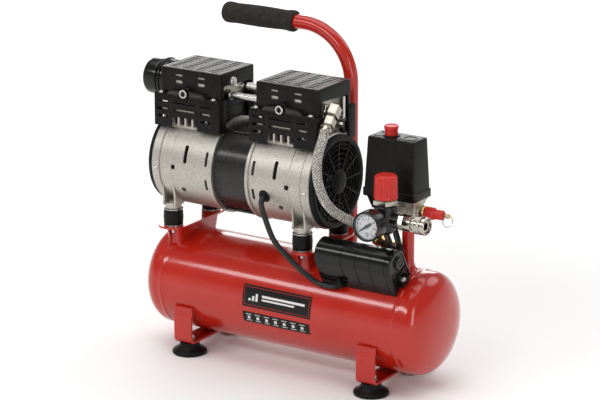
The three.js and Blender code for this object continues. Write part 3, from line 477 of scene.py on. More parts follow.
def piece(name, shapes, finish, nodes=(), bevel=0.0, sharp=32, segments=2):
    """One visible object. nodes are the CAD nodes that it stands for, and say its body."""
    if isinstance(nodes, str):
        nodes = (nodes,)
    if not isinstance(shapes, (list, tuple)):
        shapes = (shapes,)
    bm = merged(*shapes)
    bm.transform(Matrix.Translation(ORIGIN) @ Matrix.Scale(MM, 4))
    for face in bm.faces:
        face.smooth = True
    if not bevel:
        for edge in bm.edges:
            if len(edge.link_faces) != 2 or edge.calc_face_angle() > math.radians(sharp):
                edge.smooth = False
    mesh = bpy.data.meshes.new(name)
    bm.to_mesh(mesh)
    mesh.materials.append(finish)
    obj = bpy.data.objects.new(name, mesh)
    bpy.context.collection.objects.link(obj)
    if bevel:
        soften(obj, bevel, segments, sharp)
    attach(obj, BODY_OF.get(nodes[0] if nodes else "", "frame"))
    if nodes:
        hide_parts(*nodes)
    return obj


def soften(obj, width, segments=2, angle=32):
    """Small rounds along an object's sharp edges."""
    bevel = obj.modifiers.new("edges", "BEVEL")
    bevel.width = width * MM
    bevel.segments = segments
    bevel.limit_method = "ANGLE"
    bevel.angle_limit = math.radians(angle)
    bevel.use_clamp_overlap = True
    even = obj.modifiers.new("even", "WEIGHTED_NORMAL")
    even.keep_sharp = True


def keep(node, finish, bevel):
    """A CAD node that stays, with its finish and softened edges."""
    obj = frame["nodes"][node]
    obj.data.materials.clear()
    obj.data.materials.append(finish)
    soften(obj, bevel)


def hexagon(start, end, radius, direction="x", at=(0, 0, 0), soft=0.6, turn=0.0):
    """A hexagonal bar with turned corners at both ends."""
    flat = radius * 0.93
    c = soft
    bm = spin(
        [(start, 0), (start, flat), (start + c, radius), (end - c, radius), (end, flat), (end, 0)],
        "z", steps=6,
    )
    spun = Matrix.Rotation(turn, 4, "Z")
    bm.transform(Matrix.Translation(at) @ frame_along(direction) @ spun)
    return bm


def screw_head(at, radius=4.0, height=2.4, direction="z"):
    """A pan head with a cross recess, and a washer under it."""
    head = spin(
        [(0, 0), (0, radius), (height * 0.45, radius * 0.98), (height * 0.85, radius * 0.7),
         (height, radius * 0.35), (height, 0)], "z", steps=28, soft=0.4,
    )
    w, d = radius * 0.17, height * 0.55
    cross = merged(block((-radius * 0.55, radius * 0.55), (-w, w), (height - d, height + 2)))
    other = block((-w, w), (-radius * 0.55, radius * 0.55), (height - d, height + 2))
    head = carved(carved(head, cross), other)
    washer = spin([(-0.6, 0), (-0.6, radius * 1.25), (0.15, radius * 1.25), (0.15, 0)], "z", steps=28)
    made = merged(head, washer)
    made.transform(Matrix.Translation(at) @ frame_along(direction))
    return made


# ---------------------------------------------------------------- tank, feet, handle
TANK = {"radius": 70.0, "z": 92.0, "seam": 186.0, "dome": 194.0, "half": 228.0}
DRAIN_X = 102.0


def build_tank():
    r, power = TANK["radius"], 2 / 2.3
    steps = 22
    dome = [
        (TANK["dome"] + (TANK["half"] - TANK["dome"]) * math.sin(a) ** power, r * math.cos(a) ** power)
        for a in (math.pi / 2 * i / steps for i in range(steps + 1))
    ]
    dome[-1] = (TANK["half"], 0)
    seam = TANK["seam"]
    bead = [(seam + x, r + h) for x, h in
            ((-6, 0), (-2.4, 0), (-1.5, 0.35), (-0.5, 0.75), (0.5, 0.75), (1.5, 0.35), (2.4, 0), (5, 0))]
    half = [(20, r), (90, r), (150, r), *bead, *dome]
    profile = [(-x, radius) for x, radius in reversed(half)] + half
    shell = spin(profile, "x", (0, 0, TANK["z"]), 144)
    drain_boss = spin([(15, 5.4), (15, 9), (26, 9)], "z", (DRAIN_X, 0, 0), 40, soft=0.6)
    flare = spin(
        [(154, 18.5), (158.5, 17.2), (161.5, 14.2), (164, 11.4), (167.5, 9.4), (172, 8.45), (176, 8.25)],
        "z", (168, 0, 0), 48,
    )
    socket = spin([(150, 13.5), (157, 13.5), (161, 12.8), (164.2, 12.2), (165, 11), (165, 7)], "z",
                  (VALVE.x, 0, 0), 48, soft=0.8)
    piece("tank_shell", (shell, drain_boss, flare, socket), red_enamel,
          ("tank_barrel", "tank_end_left", "tank_end_right"), sharp=40)


def strap(path, thickness, width, x):
    """A bent flat strap: a centre line in (y, z), given a thickness and a width along X."""
    sides = [[], []]
    for i, p in enumerate(path):
        before, after = path[max(i - 1, 0)], path[min(i + 1, len(path) - 1)]
        along = (Vector(after) - Vector(before)).normalized()
        normal = Vector((-along.y, along.x)) * thickness / 2
        sides[0].append(Vector(p) - normal)
        sides[1].append(Vector(p) + normal)
    return prism(sides[0] + sides[1][::-1], x - width / 2, x + width / 2, "x")


def weld_line(points, radius):
    """A rippled bead along points."""
    path = smooth_path(points, 10)
    return tube(path, lambda t: radius * (1 + 0.16 * math.sin(t * len(path) * 1.9)), 10)


def build_feet():
    toe = TANK["z"] - math.sqrt(70.4**2 - 67.4**2)  # height where the strap leaves the tank
    for side, sign in SIDES:
        x = 147 * sign
        half_path = [(-67.4, 70), *rounded([(-68.6, 62), (-70.6, 55), (-70.6, 44)], 2, 4),
                     *rounded([(-70.6, 36), (-70.6, 18.75), (-50, 18.75)], 7, 8), (-20, 18.75)]
        path = half_path + [(-y, z) for y, z in reversed(half_path)]
        bent = strap(path, 3.5, 29, x)
        beads = [weld_line([(x - 14, y, toe - 3.6), (x, y, toe - 3.2), (x + 14, y, toe - 3.6)], 1.7)
                 for y in (-69.2, 69.2)]
        piece(f"foot_strap_{side}", bent, red_enamel, f"foot_bracket_{side}", bevel=0.7, segments=3)
        piece(f"foot_strap_weld_{side}", beads, red_enamel)
        for place, forward in ENDS:
            at = (x, 56 * forward, 0)
            sole = spin(
                [(0, 0), (0, 22.4), (0.8, 23.6), (2.4, 24), (4.3, 23.9), (5.6, 22.9), (7.2, 19.4),
                 (9.0, 16.4), (11.2, 14.5), (14, 13.7), (16.7, 13.5), (16.7, 0)],
                "z", at, 64, soft=0.5,
            )
            piece(f"rubber_foot_{place}_{side}", sole, rubber, f"foot_{place}_{side}", sharp=50)
            washer = rod(20.7, 22, 9.5, "z", at, 40, 0.3)
            nut = hexagon(22, 27.5, 7.6, "z", at)
            thread = spin([(27, 3.9), (28.6, 3.9), (29, 3.4), (29, 0)], "z", at, 24)
            piece(f"foot_nut_{place}_{side}", (washer, nut, thread), steel)


HANDLE = {"x": 28.5, "y": 80.0, "bottom": 74.0, "top": 452.5, "bend": 75.0, "outer": 9.8, "end": -172.0}


def build_handle():
    h = HANDLE
    x, y, bend, top = h["x"], h["y"], h["bend"], h["top"]
    corner = [
        (x - bend + bend * math.cos(a), y, top - bend + bend * math.sin(a))
        for a in (math.pi / 2 * i / 28 for i in range(29))
    ]
    straight = [(x, y, z) for z in (h["bottom"], 120, 170, 220, 270, 320, 360)]
    reach = tube([*straight, *corner, (-80, y, top), (-130, y, top), (h["end"], y, top)], h["outer"], 40,
                 caps=False)
    mouth = spin([(h["bottom"], h["outer"]), (h["bottom"], 8), (h["bottom"] + 30, 8), (h["bottom"] + 30, 0)],
                 "z", (x, y, 0), 40)
    welds = [weld_line([(x + side * 8.6, 70.8 - 0.6, 74), (x + side * 8.6, 71.2, 92),
                        (x + side * 8.6, 70.2, 110)], 2.2) for side in (-1, 1)]
    piece("handle_bar", (reach, mouth, *welds), red_enamel, "handle_tube")

    # Foam sleeve: swollen at both ends, waisted between, with a closed outer end.
    left, right, radius = -176.5, -60.0, 14.2
    body = [
        (left, 0), (left, 9.5), (left + 1.2, 12.4), (left + 4, 14.2), (left + 8, 14.8), (left + 13, 14.6),
        (left + 18, 14.0), (left + 26, 14.1), (left + 42, 14.5), (left + 60, 14.7), (left + 80, 14.4),
        (left + 96, 13.8), (left + 102, 13.9), (left + 108, 14.7), (left + 112, 14.9), (right - 1.6, 14.5),
        (right - 0.3, 13.2), (right, 11.6), (right, 9.9), (right - 6, 9.9),
    ]
    piece("grip_sleeve", spin(body, "x", (0, y, top), 72, soft=1.2), foam, "handle_grip", sharp=60)


# ---------------------------------------------------------------- saddles and rubber mounts
PUMP_X, SHAFT_Z = -74.0, 264.0
MOUNT = {"x": 105.5, "y": 45.0}


def section(half_x, half_y, corner, z, x=0.0):
    return [(a, b, z) for a, b in rectangle(x, 0, half_x, half_y, corner)]


def stack(x, *rows):
    """A skin over rounded rectangles, each given as half sizes, corner and height."""
    return loft([section(*row, x) for row in rows])


def build_saddles():
    for side, sign in SIDES:
        x = PUMP_X + sign * MOUNT["x"]
        plate = prism(rectangle(x, 0, 20, 64, 19.5, 12), 174, 177)
        skirt = stack(x, (9.4, 38, 7, 126), (10.6, 45, 8, 150), (12, 50, 9, 171), (13, 51.4, 10, 174.2))
        pockets = [prism(rectangle(x, forward * 51, 5.6, 10.5, 5.5, 6), 146, 173.9) for _, forward in ENDS]
        skirt = carved(skirt, *pockets)
        piece(f"saddle_plate_{side}", plate, red_enamel, f"pump_saddle_{side}", bevel=0.8)
        piece(f"saddle_skirt_{side}", skirt, red_enamel, sharp=50)
        for place, forward in ENDS:
            at = (x, forward * MOUNT["y"], 0)
            cushion = spin(
                [(178.2, 0), (178.2, 12.9), (180, 13.3), (189, 13.8), (198, 13.2), (199.8, 12.8), (199.8, 0)],
                "z", at, 48, soft=0.7,
            )
            ends = [rod(a, b, 13.5, "z", at, 48, 0.25) for a, b in ((177.05, 178.2), (199.8, 200.95))]
            nut = [hexagon(169.2, 174.1, 4.6, "z", at, soft=0.4),
                   spin([(164.5, 0), (164.5, 2.2), (165.2, 2.8), (170, 2.8), (170, 0)], "z", at, 20)]
            piece(f"rubber_mount_{place}_{side}", cushion, rubber, f"mount_{place}_{side}")
            piece(f"mount_nut_{place}_{side}", nut, steel)
            piece(f"mount_plates_{place}_{side}", ends, steel)


# ---------------------------------------------------------------- pump
CASE = {"inner": 60.5, "outer": 64.0, "start": 27.0, "end": 127.0}
BORE_X = 77.5
VENTS = (
    (38, 72.8, 4.2, 20), (38.3, 105.5, 4.2, 16), (72.5, 71, 5.6, 25), (92, 89.3, 7, 7), (79, 118.5, 7, 7),
)


def radial(shape, x, angle):
    """Stands a shape, drawn round the origin in X and Y, on the case at an angle from the top
    towards the front."""
    turn = Matrix.Translation((x, 0, SHAFT_Z)) @ Matrix.Rotation(math.radians(angle), 4, "X")
    return moved(shape, turn)


def vent_tools():
    tools = []
    for x, angle, width, length in VENTS:
        corner = min(width, length) / 2
        for way in (1, -1):
            outline = rectangle(0, 0, width / 2, length / 2, corner, 8)
            tools.append(radial(prism(outline, CASE["inner"] - 6, CASE["outer"] + 8), x, way * angle))
    return tools


def crankcase_shapes():
    inner, outer, start, end = (CASE[k] for k in ("inner", "outer", "start", "end"))
    drum = spin(
        [(start, inner), (start, outer + 2.5), (start + 4.2, outer + 2.5),
         (start + 5.0, outer + 0.2), (93.6, outer), (94.2, outer - 0.7),
         (95.0, outer - 0.7), (95.6, outer - 0.1), (112.6, outer - 0.1),
         (113.2, outer - 0.8), (114.2, outer - 0.8), (114.8, outer + 1.0),
         (125.6, outer + 1.1), (end, outer), (end, inner),
         (start, inner)],
        "x", (0, 0, SHAFT_Z), 128,
    )
    drum = carved(drum, *vent_tools())
    hollow = rod(20, 135, 61.5, "x", (0, 0, SHAFT_Z), 96)
    platform = stack(BORE_X, (39.5, 41.5, 6, 306), (38.5, 39.2, 5, 316.5), (38.5, 38.9, 5, 317.6),
                     (37.7, 38, 4.5, 318.4))
    shapes = [drum, carved(platform, hollow)]
    for forward in (-1, 1):
        at = (MOUNT["x"], forward * MOUNT["y"], 0)
        boss = spin([(201.3, 0), (201.3, 10.9), (202.1, 11.5), (208.4, 11.5), (209.4, 10.9), (209.8, 9.5),
                     (209.8, 0)], "z", at, 48, soft=0.5)
        bolt = spin([(209, 0), (209, 6.2), (210.8, 6.2), (211.3, 5), (211.3, 0)], "z", at, 32)
        shapes += [boss, bolt]
        for dx in (-9.2, 9.2):
            fin = prism([(forward * a, b) for a, b in ((55.2, 206), (54.2, 214), (54.8, 224), (57.4, 236),
                                                       (52, 236), (33, 213), (34.5, 206))],
                        at[0] + dx - 1.4, at[0] + dx + 1.4, "x")
            shapes.append(carved(fin, hollow))
        web = prism([(forward * a, b) for a, b in ((37, 206), (39, 214), (45, 226), (38, 224), (30, 206))],
                    at[0] - 8.5, at[0] + 8.5, "x")
        shapes.append(carved(web, hollow))
    # Bearing wall, seen through the cover.
    shapes.append(spin([(32, 9), (32, 61), (36, 61), (36, 9), (32, 9)], "x", (0, 0, SHAFT_Z), 64))
    return shapes


def build_crankcases():
    shapes = crankcase_shapes()
    lug = spin([(0, 0), (0, 2.6), (6.0, 2.6), (6.6, 2.0), (6.6, 0)], "x", steps=24, soft=0.3)
    for side, sign in SIDES:
        here = [shifted(flipped(s, sign), PUMP_X) for s in shapes]
        piece(f"crankcase_casting_{side}", here, cast, f"crankcase_{side}", sharp=38)
        screws = []
        for angle in (93, 150, -93, -150, 36, -36):
            a = math.radians(angle)
            y, z = -math.sin(a) * 64.4, SHAFT_Z + math.cos(a) * 64.4
            screws.append(shifted(flipped(lug, sign), PUMP_X + sign * 117.0, y, z))
        piece(f"rim_lugs_{side}", screws, machined)


def build_stator():
    body = spin([(-27.2, 48), (-27.2, 60.2), (-26.4, 61), (26.4, 61), (27.2, 60.2), (27.2, 48), (-27.2, 48)],
                "x", (PUMP_X, 0, SHAFT_Z), 128)
    piece("stator_core", body, core, "stator")
    ties = []
    for angle in (28, 152, -28, -152):
        a = math.radians(angle)
        y, z = -math.sin(a) * 62.2, SHAFT_Z + math.cos(a) * 62.2
        ties.append(rod(-29, 29, 2.2, "x", (PUMP_X, y, z), 16))
    piece("stator_tie_rods", ties, black_metal)


def build_rotor():
    shaft = spin([(-121, 0), (-121, 6.8), (-120, 7.5), (120, 7.5), (121, 6.8), (121, 0)], "x",
                 (PUMP_X, 0, SHAFT_Z), 40)
    rotor = spin([(-24, 7), (-24, 44), (-23, 45), (23, 45), (24, 44), (24, 7)], "x", (PUMP_X, 0, SHAFT_Z), 96)
    discs = [
        rod(-5, 5, 11, "x", (PUMP_X + sign * BORE_X, sign * 6, SHAFT_Z), 48, 0.5)
        for _, sign in SIDES
    ]
    piece("rotor", (shaft, rotor, *discs), steel, "rotor_shaft")
    for side, sign in SIDES:
        hub = spin([(108, 8), (108, 16), (118, 15.5), (119, 14), (119, 8), (108, 8)], "x",
                   (0, 0, 0), 48, soft=0.6)
        blades = []
        for i in range(7):
            rows = []
            for r, twist, chord in ((13, 58, 6.5), (25, 52, 8.5), (38, 46, 10), (51.5, 40, 10.5)):
                a = math.radians(twist)
                c, s = math.cos(a), math.sin(a)
                row = []
                for u, v in ((-chord, -0.8), (0, -1.5), (chord, -0.7), (chord, 0.6), (0, 0.4), (-chord, 0.6)):
                    row.append((113.5 + u * c - v * s, u * s + v * c, r))
                rows.append(row)
            blade = loft(rows)
            blade.transform(Matrix.Rotation(FULL * i / 7, 4, "X"))
            blades.append(blade)
        here = [shifted(flipped(s, sign), PUMP_X, 0, SHAFT_Z) for s in (hub, *blades)]
        piece(f"cooling_fan_{side}", here, black_moulded, f"fan_{side}", sharp=50)


def build_grilles():
    start = CASE["end"] + 0.3
    face = start + 6.7
    rim = spin(
        [(start, 55.5), (start, 63.5), (start + 4.2, 63.5), (start + 5.8, 62.8), (face, 61.2),
         (face + 0.3, 58.5), (face - 0.4, 56), (face - 1.2, 54.8), (start + 1, 54.8), (start, 55.5)],
        "x", (0, 0, 0), 128,
    )
    hub = spin([(face - 3, 0), (face - 3, 17.6), (face - 0.4, 17.6), (face + 1.2, 16.6), (face + 3.4, 13.5),
                (face + 5.2, 8), (face + 5.8, 0)], "x", (0, 0, 0), 64, soft=1.0)
    rings = []
    for r in (24.5, 31.5, 38.5, 45.5, 51.0):
        rings.append(spin([(face - 2.6, r - 0.55), (face - 2.6, r + 0.55), (face - 0.2, r + 0.45),
                           (face - 0.2, r - 0.45), (face - 2.6, r - 0.55)], "x", (0, 0, 0), 96))
    spokes = []
    for i in range(12):
        bar = block((face - 3, face + 0.2), (-1.1, 1.1), (16.8, 55.6), 0.35, 2)
        spokes.append(moved(bar, Matrix.Rotation(FULL * i / 12, 4, "X")))
    for side, sign in SIDES:
        here = [shifted(flipped(s, sign), PUMP_X, 0, SHAFT_Z) for s in (rim, hub, *rings, *spokes)]
        piece(f"fan_cover_{side}", here, grille_plastic, f"fan_grille_{side}", sharp=40)


def build_pistons():
    for side, sign in SIDES:
        x = PUMP_X + sign * BORE_X
        eye = spin([(-4, 24), (-4, 29), (4, 29), (4, 24), (-4, 24)], "x", (x, 0, SHAFT_Z), 64)
        rod = block((x - 4, x + 4), (-8, 8), (SHAFT_Z + 27.5, 337), 1.5)
        crown = spin([(336, 0), (336, 26.3), (336.6, 26.9), (342.4, 26.9), (343, 26.3), (343, 0)], "z",
                     (x, 0, 0), 64)
        piece(f"piston_rod_{side}", (eye, rod, crown), machined, f"piston_{side}")


# ---------------------------------------------------------------- air guides over the heads
GUIDE_MIDDLE, GUIDE_TOP = -5.0, 396.0
LOUVRE_X = [(i - 1.5) * 21.6 - 2.6 for i in range(4)]
LOUVRE_Y = [(k - 4) * 7.8 for k in range(9)]


def opening(x0, x1, z, height, grow=0.0, corner=0.0, steps=4):
    """The outline of a slot in a guide's side, grown all round, with its corners in proportion."""
    half = height / 2
    return rectangle(GUIDE_MIDDLE + (x0 + x1) / 2, z, (x1 - x0) / 2 + grow, half + grow, half + corner, steps)


def louvre(x, y):
    return rectangle(x, y, 6.6, 1.15, 1.1, 4)


def guide_shapes():
    """Box over the head, two skirts, raised ledges and bosses, round a bore at x = 0."""
    top, ledge, bottom, wall = GUIDE_TOP, 361.0, 316.0, 2.2
    mid = GUIDE_MIDDLE
    box = stack(0, (49.5, 40.5, 4, 352), (49.5, 40.5, 4, top - 1.6), (49.1, 40.1, 4, top - 0.5),
                (48.2, 39.2, 4, top))
    upper_slots = []
    for forward in (-1, 1):
        for x0, x1 in ((-21.8, -8.3), (15.3, 28.3)):
            for z, h in ((387, 2.8), (377.5, 5)):
                outline = opening(x0, x1, z, h, steps=5)
                y = sorted((forward * 36, forward * 44))
                upper_slots.append(prism(outline, *y, "y"))
    roof_slots = [prism(louvre(x, y), top - 6, top + 3) for x in LOUVRE_X for y in LOUVRE_Y]
    box = carved(
        box,
        block((-49.5 + wall, 49.5 - wall), (-40.5 + wall, 40.5 - wall), (340, top - 2.5)),
    )
    box = carved(box, prism(rounded([(-33, 339), (33, 339), (33, 376), (-33, 379)], 4, 5, closed=True),
                            -60, 60, "x"))
    box = carved(box, *upper_slots)
    box = carved(box, *roof_slots)
    shapes = [box]

    skirt = loft([[(x, y, z) for x, y in rounded([(-55.5, -49), (52.5, -49), (52.5, -31), (-55.5, -31)],
                                                 3, 4, closed=True)]
                  for z in (bottom, ledge - 1.2)]
                 + [[(x, y, ledge) for x, y in rounded([(-54.8, -48.2), (51.8, -48.2), (51.8, -31),
                                                        (-54.8, -31)], 3, 4, closed=True)]])
    skirt = carved(skirt, block((-53.3, 50.3), (-46.8, -20), (bottom - 5, ledge - wall)))
    cuts = [prism([(mid - 21, bottom - 5), (mid + 21, bottom - 5), (mid + 21, bottom + 12.5),
                   (mid + 18.5, bottom + 15), (mid - 18.5, bottom + 15), (mid - 21, bottom + 12.5)],
                  -52, -44, "y")]
    columns = ((-44, -26.5), (-17.2, 17.2), (26.5, 43))
    slots = [(x0, x1, z, h) for x0, x1 in columns for z, h in ((350.8, 1.8), (340.2, 3.6))]
    lowest = [(*columns[i], 330, 3.6) for i in (0, 2)]
    cuts += [prism(opening(*slot), -52, -44, "y") for slot in slots + lowest]
    skirt = carved(skirt, *cuts)
    frames = [prism(opening(*slot, 1.3, 1.2), -49.7, -48.6, "y", [opening(*slot, 0.1)]) for slot in slots]
    boss = spin([(-51.6, 4.2), (-51.6, 5.8), (-51.0, 6.4), (-46.2, 6.5), (-45.6, 7.4), (-43.8, 8.3),
                 (-39, 8.6), (-39, 4.2), (-51.6, 4.2)], "y", (mid, 0, 365), 48)
    shelf = prism(rounded([(mid - 31, ledge - 1), (mid - 26, ledge + 5), (mid - 8, ledge + 6.5),
                           (mid + 8, ledge + 6.5), (mid + 28, ledge + 5), (mid + 35, ledge - 1)], 3, 4,
                          closed=True), -47.6, -39, "y")
    bmesh.ops.bevel(shelf, geom=[e for e in shelf.edges if e.calc_face_angle(0) > 1.2], offset=0.8,
                    segments=2, profile=0.5, affect="EDGES")
    rib = block((mid - 8.4, mid + 8.4), (-48.6, -39), (ledge - 3, ledge + 2.5), 1.2)
    foot_pad = spin([(ledge - 1, 0), (ledge - 1, 6.4), (ledge + 0.5, 6.0), (ledge + 0.5, 0)], "z",
                    (-45.5, -43.8, 0), 32)
    pads = [foot_pad, shifted(foot_pad, 86)]
    front = [skirt, *frames, boss, rib, *pads]
    return shapes + front + [flipped(s, -1, "Y") for s in front], [shelf, flipped(shelf, -1, "Y")]


def roof_shapes():
    """Raised louvre fields on the roof: four strips of short slots, each with a lip."""
    top = GUIDE_TOP
    fields = []
    for x in LOUVRE_X:
        holes = [louvre(x, y) for y in LOUVRE_Y]
        fields.append(prism(rectangle(x, 0, 9.9, 37.4, 1.6), top - 0.5, top + 0.3, "z", holes))
        fields += [block((x - 6.2, x + 6.2), (y + 1.5, y + 3.2), (top - 0.2, top + 0.75), 0.35, 2)
                   for y in LOUVRE_Y]
    fields.append(prism(rectangle(44.0, 0, 2.8, 37.4, 1.4), top - 0.5, top + 0.3))
    return fields


def build_guides():
    shapes, shelves = guide_shapes()
    head = screw_head((0, 0, 0), 4.0, 2.6)
    for side, sign in SIDES:
        x = PUMP_X + sign * BORE_X
        piece(f"air_guide_{side}", [shifted(s, x) for s in shapes], black_moulded, f"shroud_{side}",
              sharp=34)
        # The roof fields' lighter colour is painted sheen on the same black plastic.
        piece(f"air_guide_roof_{side}", [shifted(s, x) for s in roof_shapes()], roof_painted_sheen)
        # The shelves' lighter colour is painted sheen on the same black plastic.
        piece(f"air_guide_shelves_{side}", [shifted(s, x) for s in shelves], shelf_painted_sheen)
        screws, rings = [], []
        for forward in (-1, 1):
            for dx in (-45.5, 40.5):
                screws.append(shifted(head, x + dx, forward * 44.3, 361.6))
            ring = spin([(-51.7, 3.7), (-52.0, 4.1), (-52.0, 5.6), (-51.6, 6.0), (-46, 5.9), (-46, 0),
                         (-47.2, 0), (-47.2, 3.4), (-51.7, 3.7)], "y", (x + GUIDE_MIDDLE, 0, 365), 40)
            rings.append(flipped(ring, -forward, "Y"))
        piece(f"air_guide_screws_{side}", screws, steel)
        piece(f"air_guide_bushes_{side}", rings, steel)


def build_heads():
    for side, sign in SIDES:
        keep(f"cylinder_{side}", cast, 0.6)
        keep(f"cylinder_head_{side}", cast, 0.6)
        x = PUMP_X + sign * BORE_X
        bolts = [hexagon(379, 384, 5.4, "z", (x + dx, dy, 0)) for dx in (-33, 33) for dy in (-29, 29)]
        piece(f"head_bolts_{side}", bolts, steel)
    for side, sign in SIDES:
        x = PUMP_X + sign * BORE_X
        fins = []
        for forward in (-1, 1):
            near, far = sorted((forward * 36.5, forward * 45.6))
            for k in range(8):
                dx = (k - 3.5) * 11.4
                fins.append(block((x + dx - 1.6, x + dx + 1.6), (near, far), (318, 336.5), 0.6))
            fins.append(block((x - 44, x + 44), (near, far), (337.2, 342.2), 0.8))
            a, b = sorted((forward * 34, forward * 38.1))
            fins.append(block((x - 38.5, x + 38.5), (a, b), (373.5, 390), 0.6))
        piece(f"cylinder_edge_fins_{side}", fins, cast)
    pipe = spin([(-119, 5), (-29, 5)], "x", (0, LINK.y, LINK.z), 40)
    piece("link_tube", pipe, steel, "link_pipe")
    collars = [rod(a, b, 6.6, "x", (0, LINK.y, LINK.z), 40, 0.6)
               for a, b in ((-108, -98.5), (-49.5, -40))]
    piece("link_collars", collars, nickel)
    # A plain black wall on the inner side of each cylinder, put in to darken the fins there: painted shade.
    for side, sign in SIDES:
        x = PUMP_X + sign * (BORE_X - 43.5)
        wall = [block((x - 0.9, x + 0.9), (-33, 33), (318.5, 359), 0.5)]
        wall += [block((x - 2.0, x + 2.0), (-33, 33), (z, z + 1.6), 0.5) for z in (330, 344, 357)]
        piece(f"shade_wall_{side}", wall, black_moulded)
    stub = spin([(-103, 0), (-103, 6.5), (-98.6, 6.5), (-97.4, 5.4), (-97.4, 0)], "x",
                (0, -14, 383.0), 32, soft=0.4)
    hook = tube(smooth_path([(-99, -12, 378.5), (-95.5, -9, 375.6), (-94, -4, 375), (-95, 2, 375.4),
                             (-99, 6, 376)], 6), 1.5, 12)
    strip = block((52.3, 53.6), (20.5, 25.5), (346, 375.5), 0.5)
    rear_stub = spin([(-85, 0), (-85, 4.6), (-84, 5.5), (-37, 5.5), (-37, 0)], "x", (0, -0.6, 375.7), 32)
    piece("head_plugs", (stub, rear_stub, hook, strip), machined)


# ---------------------------------------------------------------- intake, outlet, hose
def build_intake():
    left = -245.4
    profile = [
        (left, 0), (left, 15), (left + 0.6, 16), (left + 0.6, 19.4), (left + 0.1, 20.2), (left + 0.8, 22.4),
        (left + 2.6, 24.2), (left + 5.4, 25), (left + 19.5, 25), (left + 22, 24.4), (left + 23, 22.6),
        (left + 24, 21.8), (left + 26.2, 21.8),
        (left + 26.4, 27), (left + 27.4, 28), (left + 29.8, 28), (left + 30.6, 27), (left + 30.8, 26),
        (left + 36, 26), (left + 36.3, 25), (left + 37.6, 25), (left + 38, 26), (left + 42, 26),
        (left + 43, 25), (left + 43, 8.5), (left + 45, 7.5), (-183.5, 7.5), (-183.5, 5),
    ]
    piece("intake_silencer", spin(profile, "x", (0, 0, 370), 96, soft=0.5), black_gloss, "intake_filter",
          sharp=40)


LINK = Vector((62.5, -19.0, 365.4))
ARM = Vector((0.17, -0.81, -0.56)).normalized()
VALVE = Vector((141, 0, 187))
VALVE_ARM = Vector((-0.62, -0.52, 0.59)).normalized()


def on_arm(distance):
    return LINK + ARM * distance


def on_valve(distance):
    return VALVE + VALVE_ARM * distance


HOSE_ROUTE = [
    on_arm(26.8), on_arm(36), (69.6, -55.6, 336.1), (70.8, -65.6, 324), (72.3, -72.6, 311.6),
    (74, -75.8, 298.2), (76.5, -76.6, 284.2), (79.5, -74.3, 270.6), (83, -68.2, 256.5), (88, -59, 244),
    (94.6, -49.3, 234.9), (101.8, -39.3, 227.6), (108.2, -30.8, 220.2), (113.8, -24, 213.6),
    on_valve(36), on_valve(30.5), on_valve(25.4),
]


def woven(points, radius, bands=9, pitch=34.0, width=1.9, wave=0.45, depth=0.34):
    """Flat wire bands wound both ways round a path, over and under each other."""
    stations = travelling_frames(points)
    bm = bmesh.new()
    uv = bm.loops.layers.uv.new("UVMap")
    across = ((-width / 2, -depth, 0.0), (-width / 4, depth * 0.7, 0.25), (width / 4, depth * 0.7, 0.75),
              (width / 2, -depth, 1.0))
    for way in (1, -1):
        for band in range(bands):
            last = None
            for p, normal, side, along, s in stations:
                a = FULL * (band / bands + way * s / pitch)
                r = radius + way * wave * math.cos(FULL * bands * s / pitch)
                out = normal * math.cos(a) + side * math.sin(a)
                turn = (side * math.cos(a) - normal * math.sin(a)) * way
                climb = FULL * radius / pitch
                cross = (turn - along * climb).normalized()
                row = [bm.verts.new(p + out * (r + h) + cross * w) for w, h, _ in across]
                if last:
                    for k in range(3):
                        face = bm.faces.new((last[k], last[k + 1], row[k + 1], row[k]))
                        marks = (across[k][2], across[k + 1][2], across[k + 1][2], across[k][2])
                        for loop, v in zip(face.loops, marks):
                            loop[uv].uv = (s, v)
                    bm.faces.new((last[3], last[0], row[0], row[3]))
                last = row
    bmesh.ops.recalc_face_normals(bm, faces=bm.faces)
    return bm


def even_steps(points, step):
    """The same path with its points a fixed length apart."""
    out, left = [points[0].copy()], step
    for a, b in zip(points, points[1:]):
        gap = (b - a).length
        done = 0.0
        while gap - done >= left:
            done += left
            left = step
            out.append(a.lerp(b, done / gap))
        left -= gap - done
    return out


def build_hose():
    inlet = rod(50.2, 62.5, 7, "x", (0, LINK.y, LINK.z), 32)
    collar = hexagon(50.4, 54.5, 8.6, "x", (0, LINK.y, LINK.z))
    body = hexagon(-6.5, 11.5, 10.6, ARM, LINK, soft=1.2, turn=0.25)
    neck = rod(11, 15, 6.6, ARM, LINK, 32)
    piece("elbow_fitting", (inlet, collar, body, neck), nickel, "outlet_elbow")
    nut = hexagon(14, 29, 9.3, ARM, LINK, soft=1.0, turn=0.25)
    ferrule = spin([(28.6, 0), (28.6, 6.2), (29.6, 7.2), (30.4, 6.5), (31.2, 7.2), (36.5, 7.2), (37.4, 6.7),
                    (37.4, 0)], ARM, LINK, 40, soft=0.3)
    piece("elbow_swivel_nut", (nut, ferrule), nickel, "hose_nut_upper")
    path = even_steps(smooth_path(HOSE_ROUTE, 14), 0.83)
    piece("braided_line", woven(path, 5.9), wire, "braided_hose", sharp=180)
    piece("hose_core", tube(smooth_path(HOSE_ROUTE, 8), 5.45, 24), under_braid)
    start = on_valve(25)
    lower = spin([(-1, 0), (-1, 7.1), (10.5, 7.1), (11.5, 6.6), (11.5, 0)], VALVE_ARM, start, 40, soft=0.3)
    piece("hose_ferrule_lower", lower, nickel)
    hexed = [hexagon(-10, -0.4, 9, VALVE_ARM, start),
             rod(-25, -9, 6.5, VALVE_ARM, start, 32)]
    at = (VALVE.x, 0, 0)
    stem = spin([(157, 0), (157, 8), (165, 8)], "z", at, 40)
    six = hexagon(165, 176, 11.4, "z", at)
    top = spin([(175.5, 0), (175.5, 8.6), (194.5, 8.6), (196, 7.4), (196, 0)], "z", at, 40, soft=0.5)
    side = spin([(0, 0), (0, 3.4), (13, 3.4), (14, 2.4), (14, 0)], "y", (VALVE.x, 6, 189), 24)
    piece("check_valve_body", (*hexed, stem, six, top, side), brass, "check_valve")


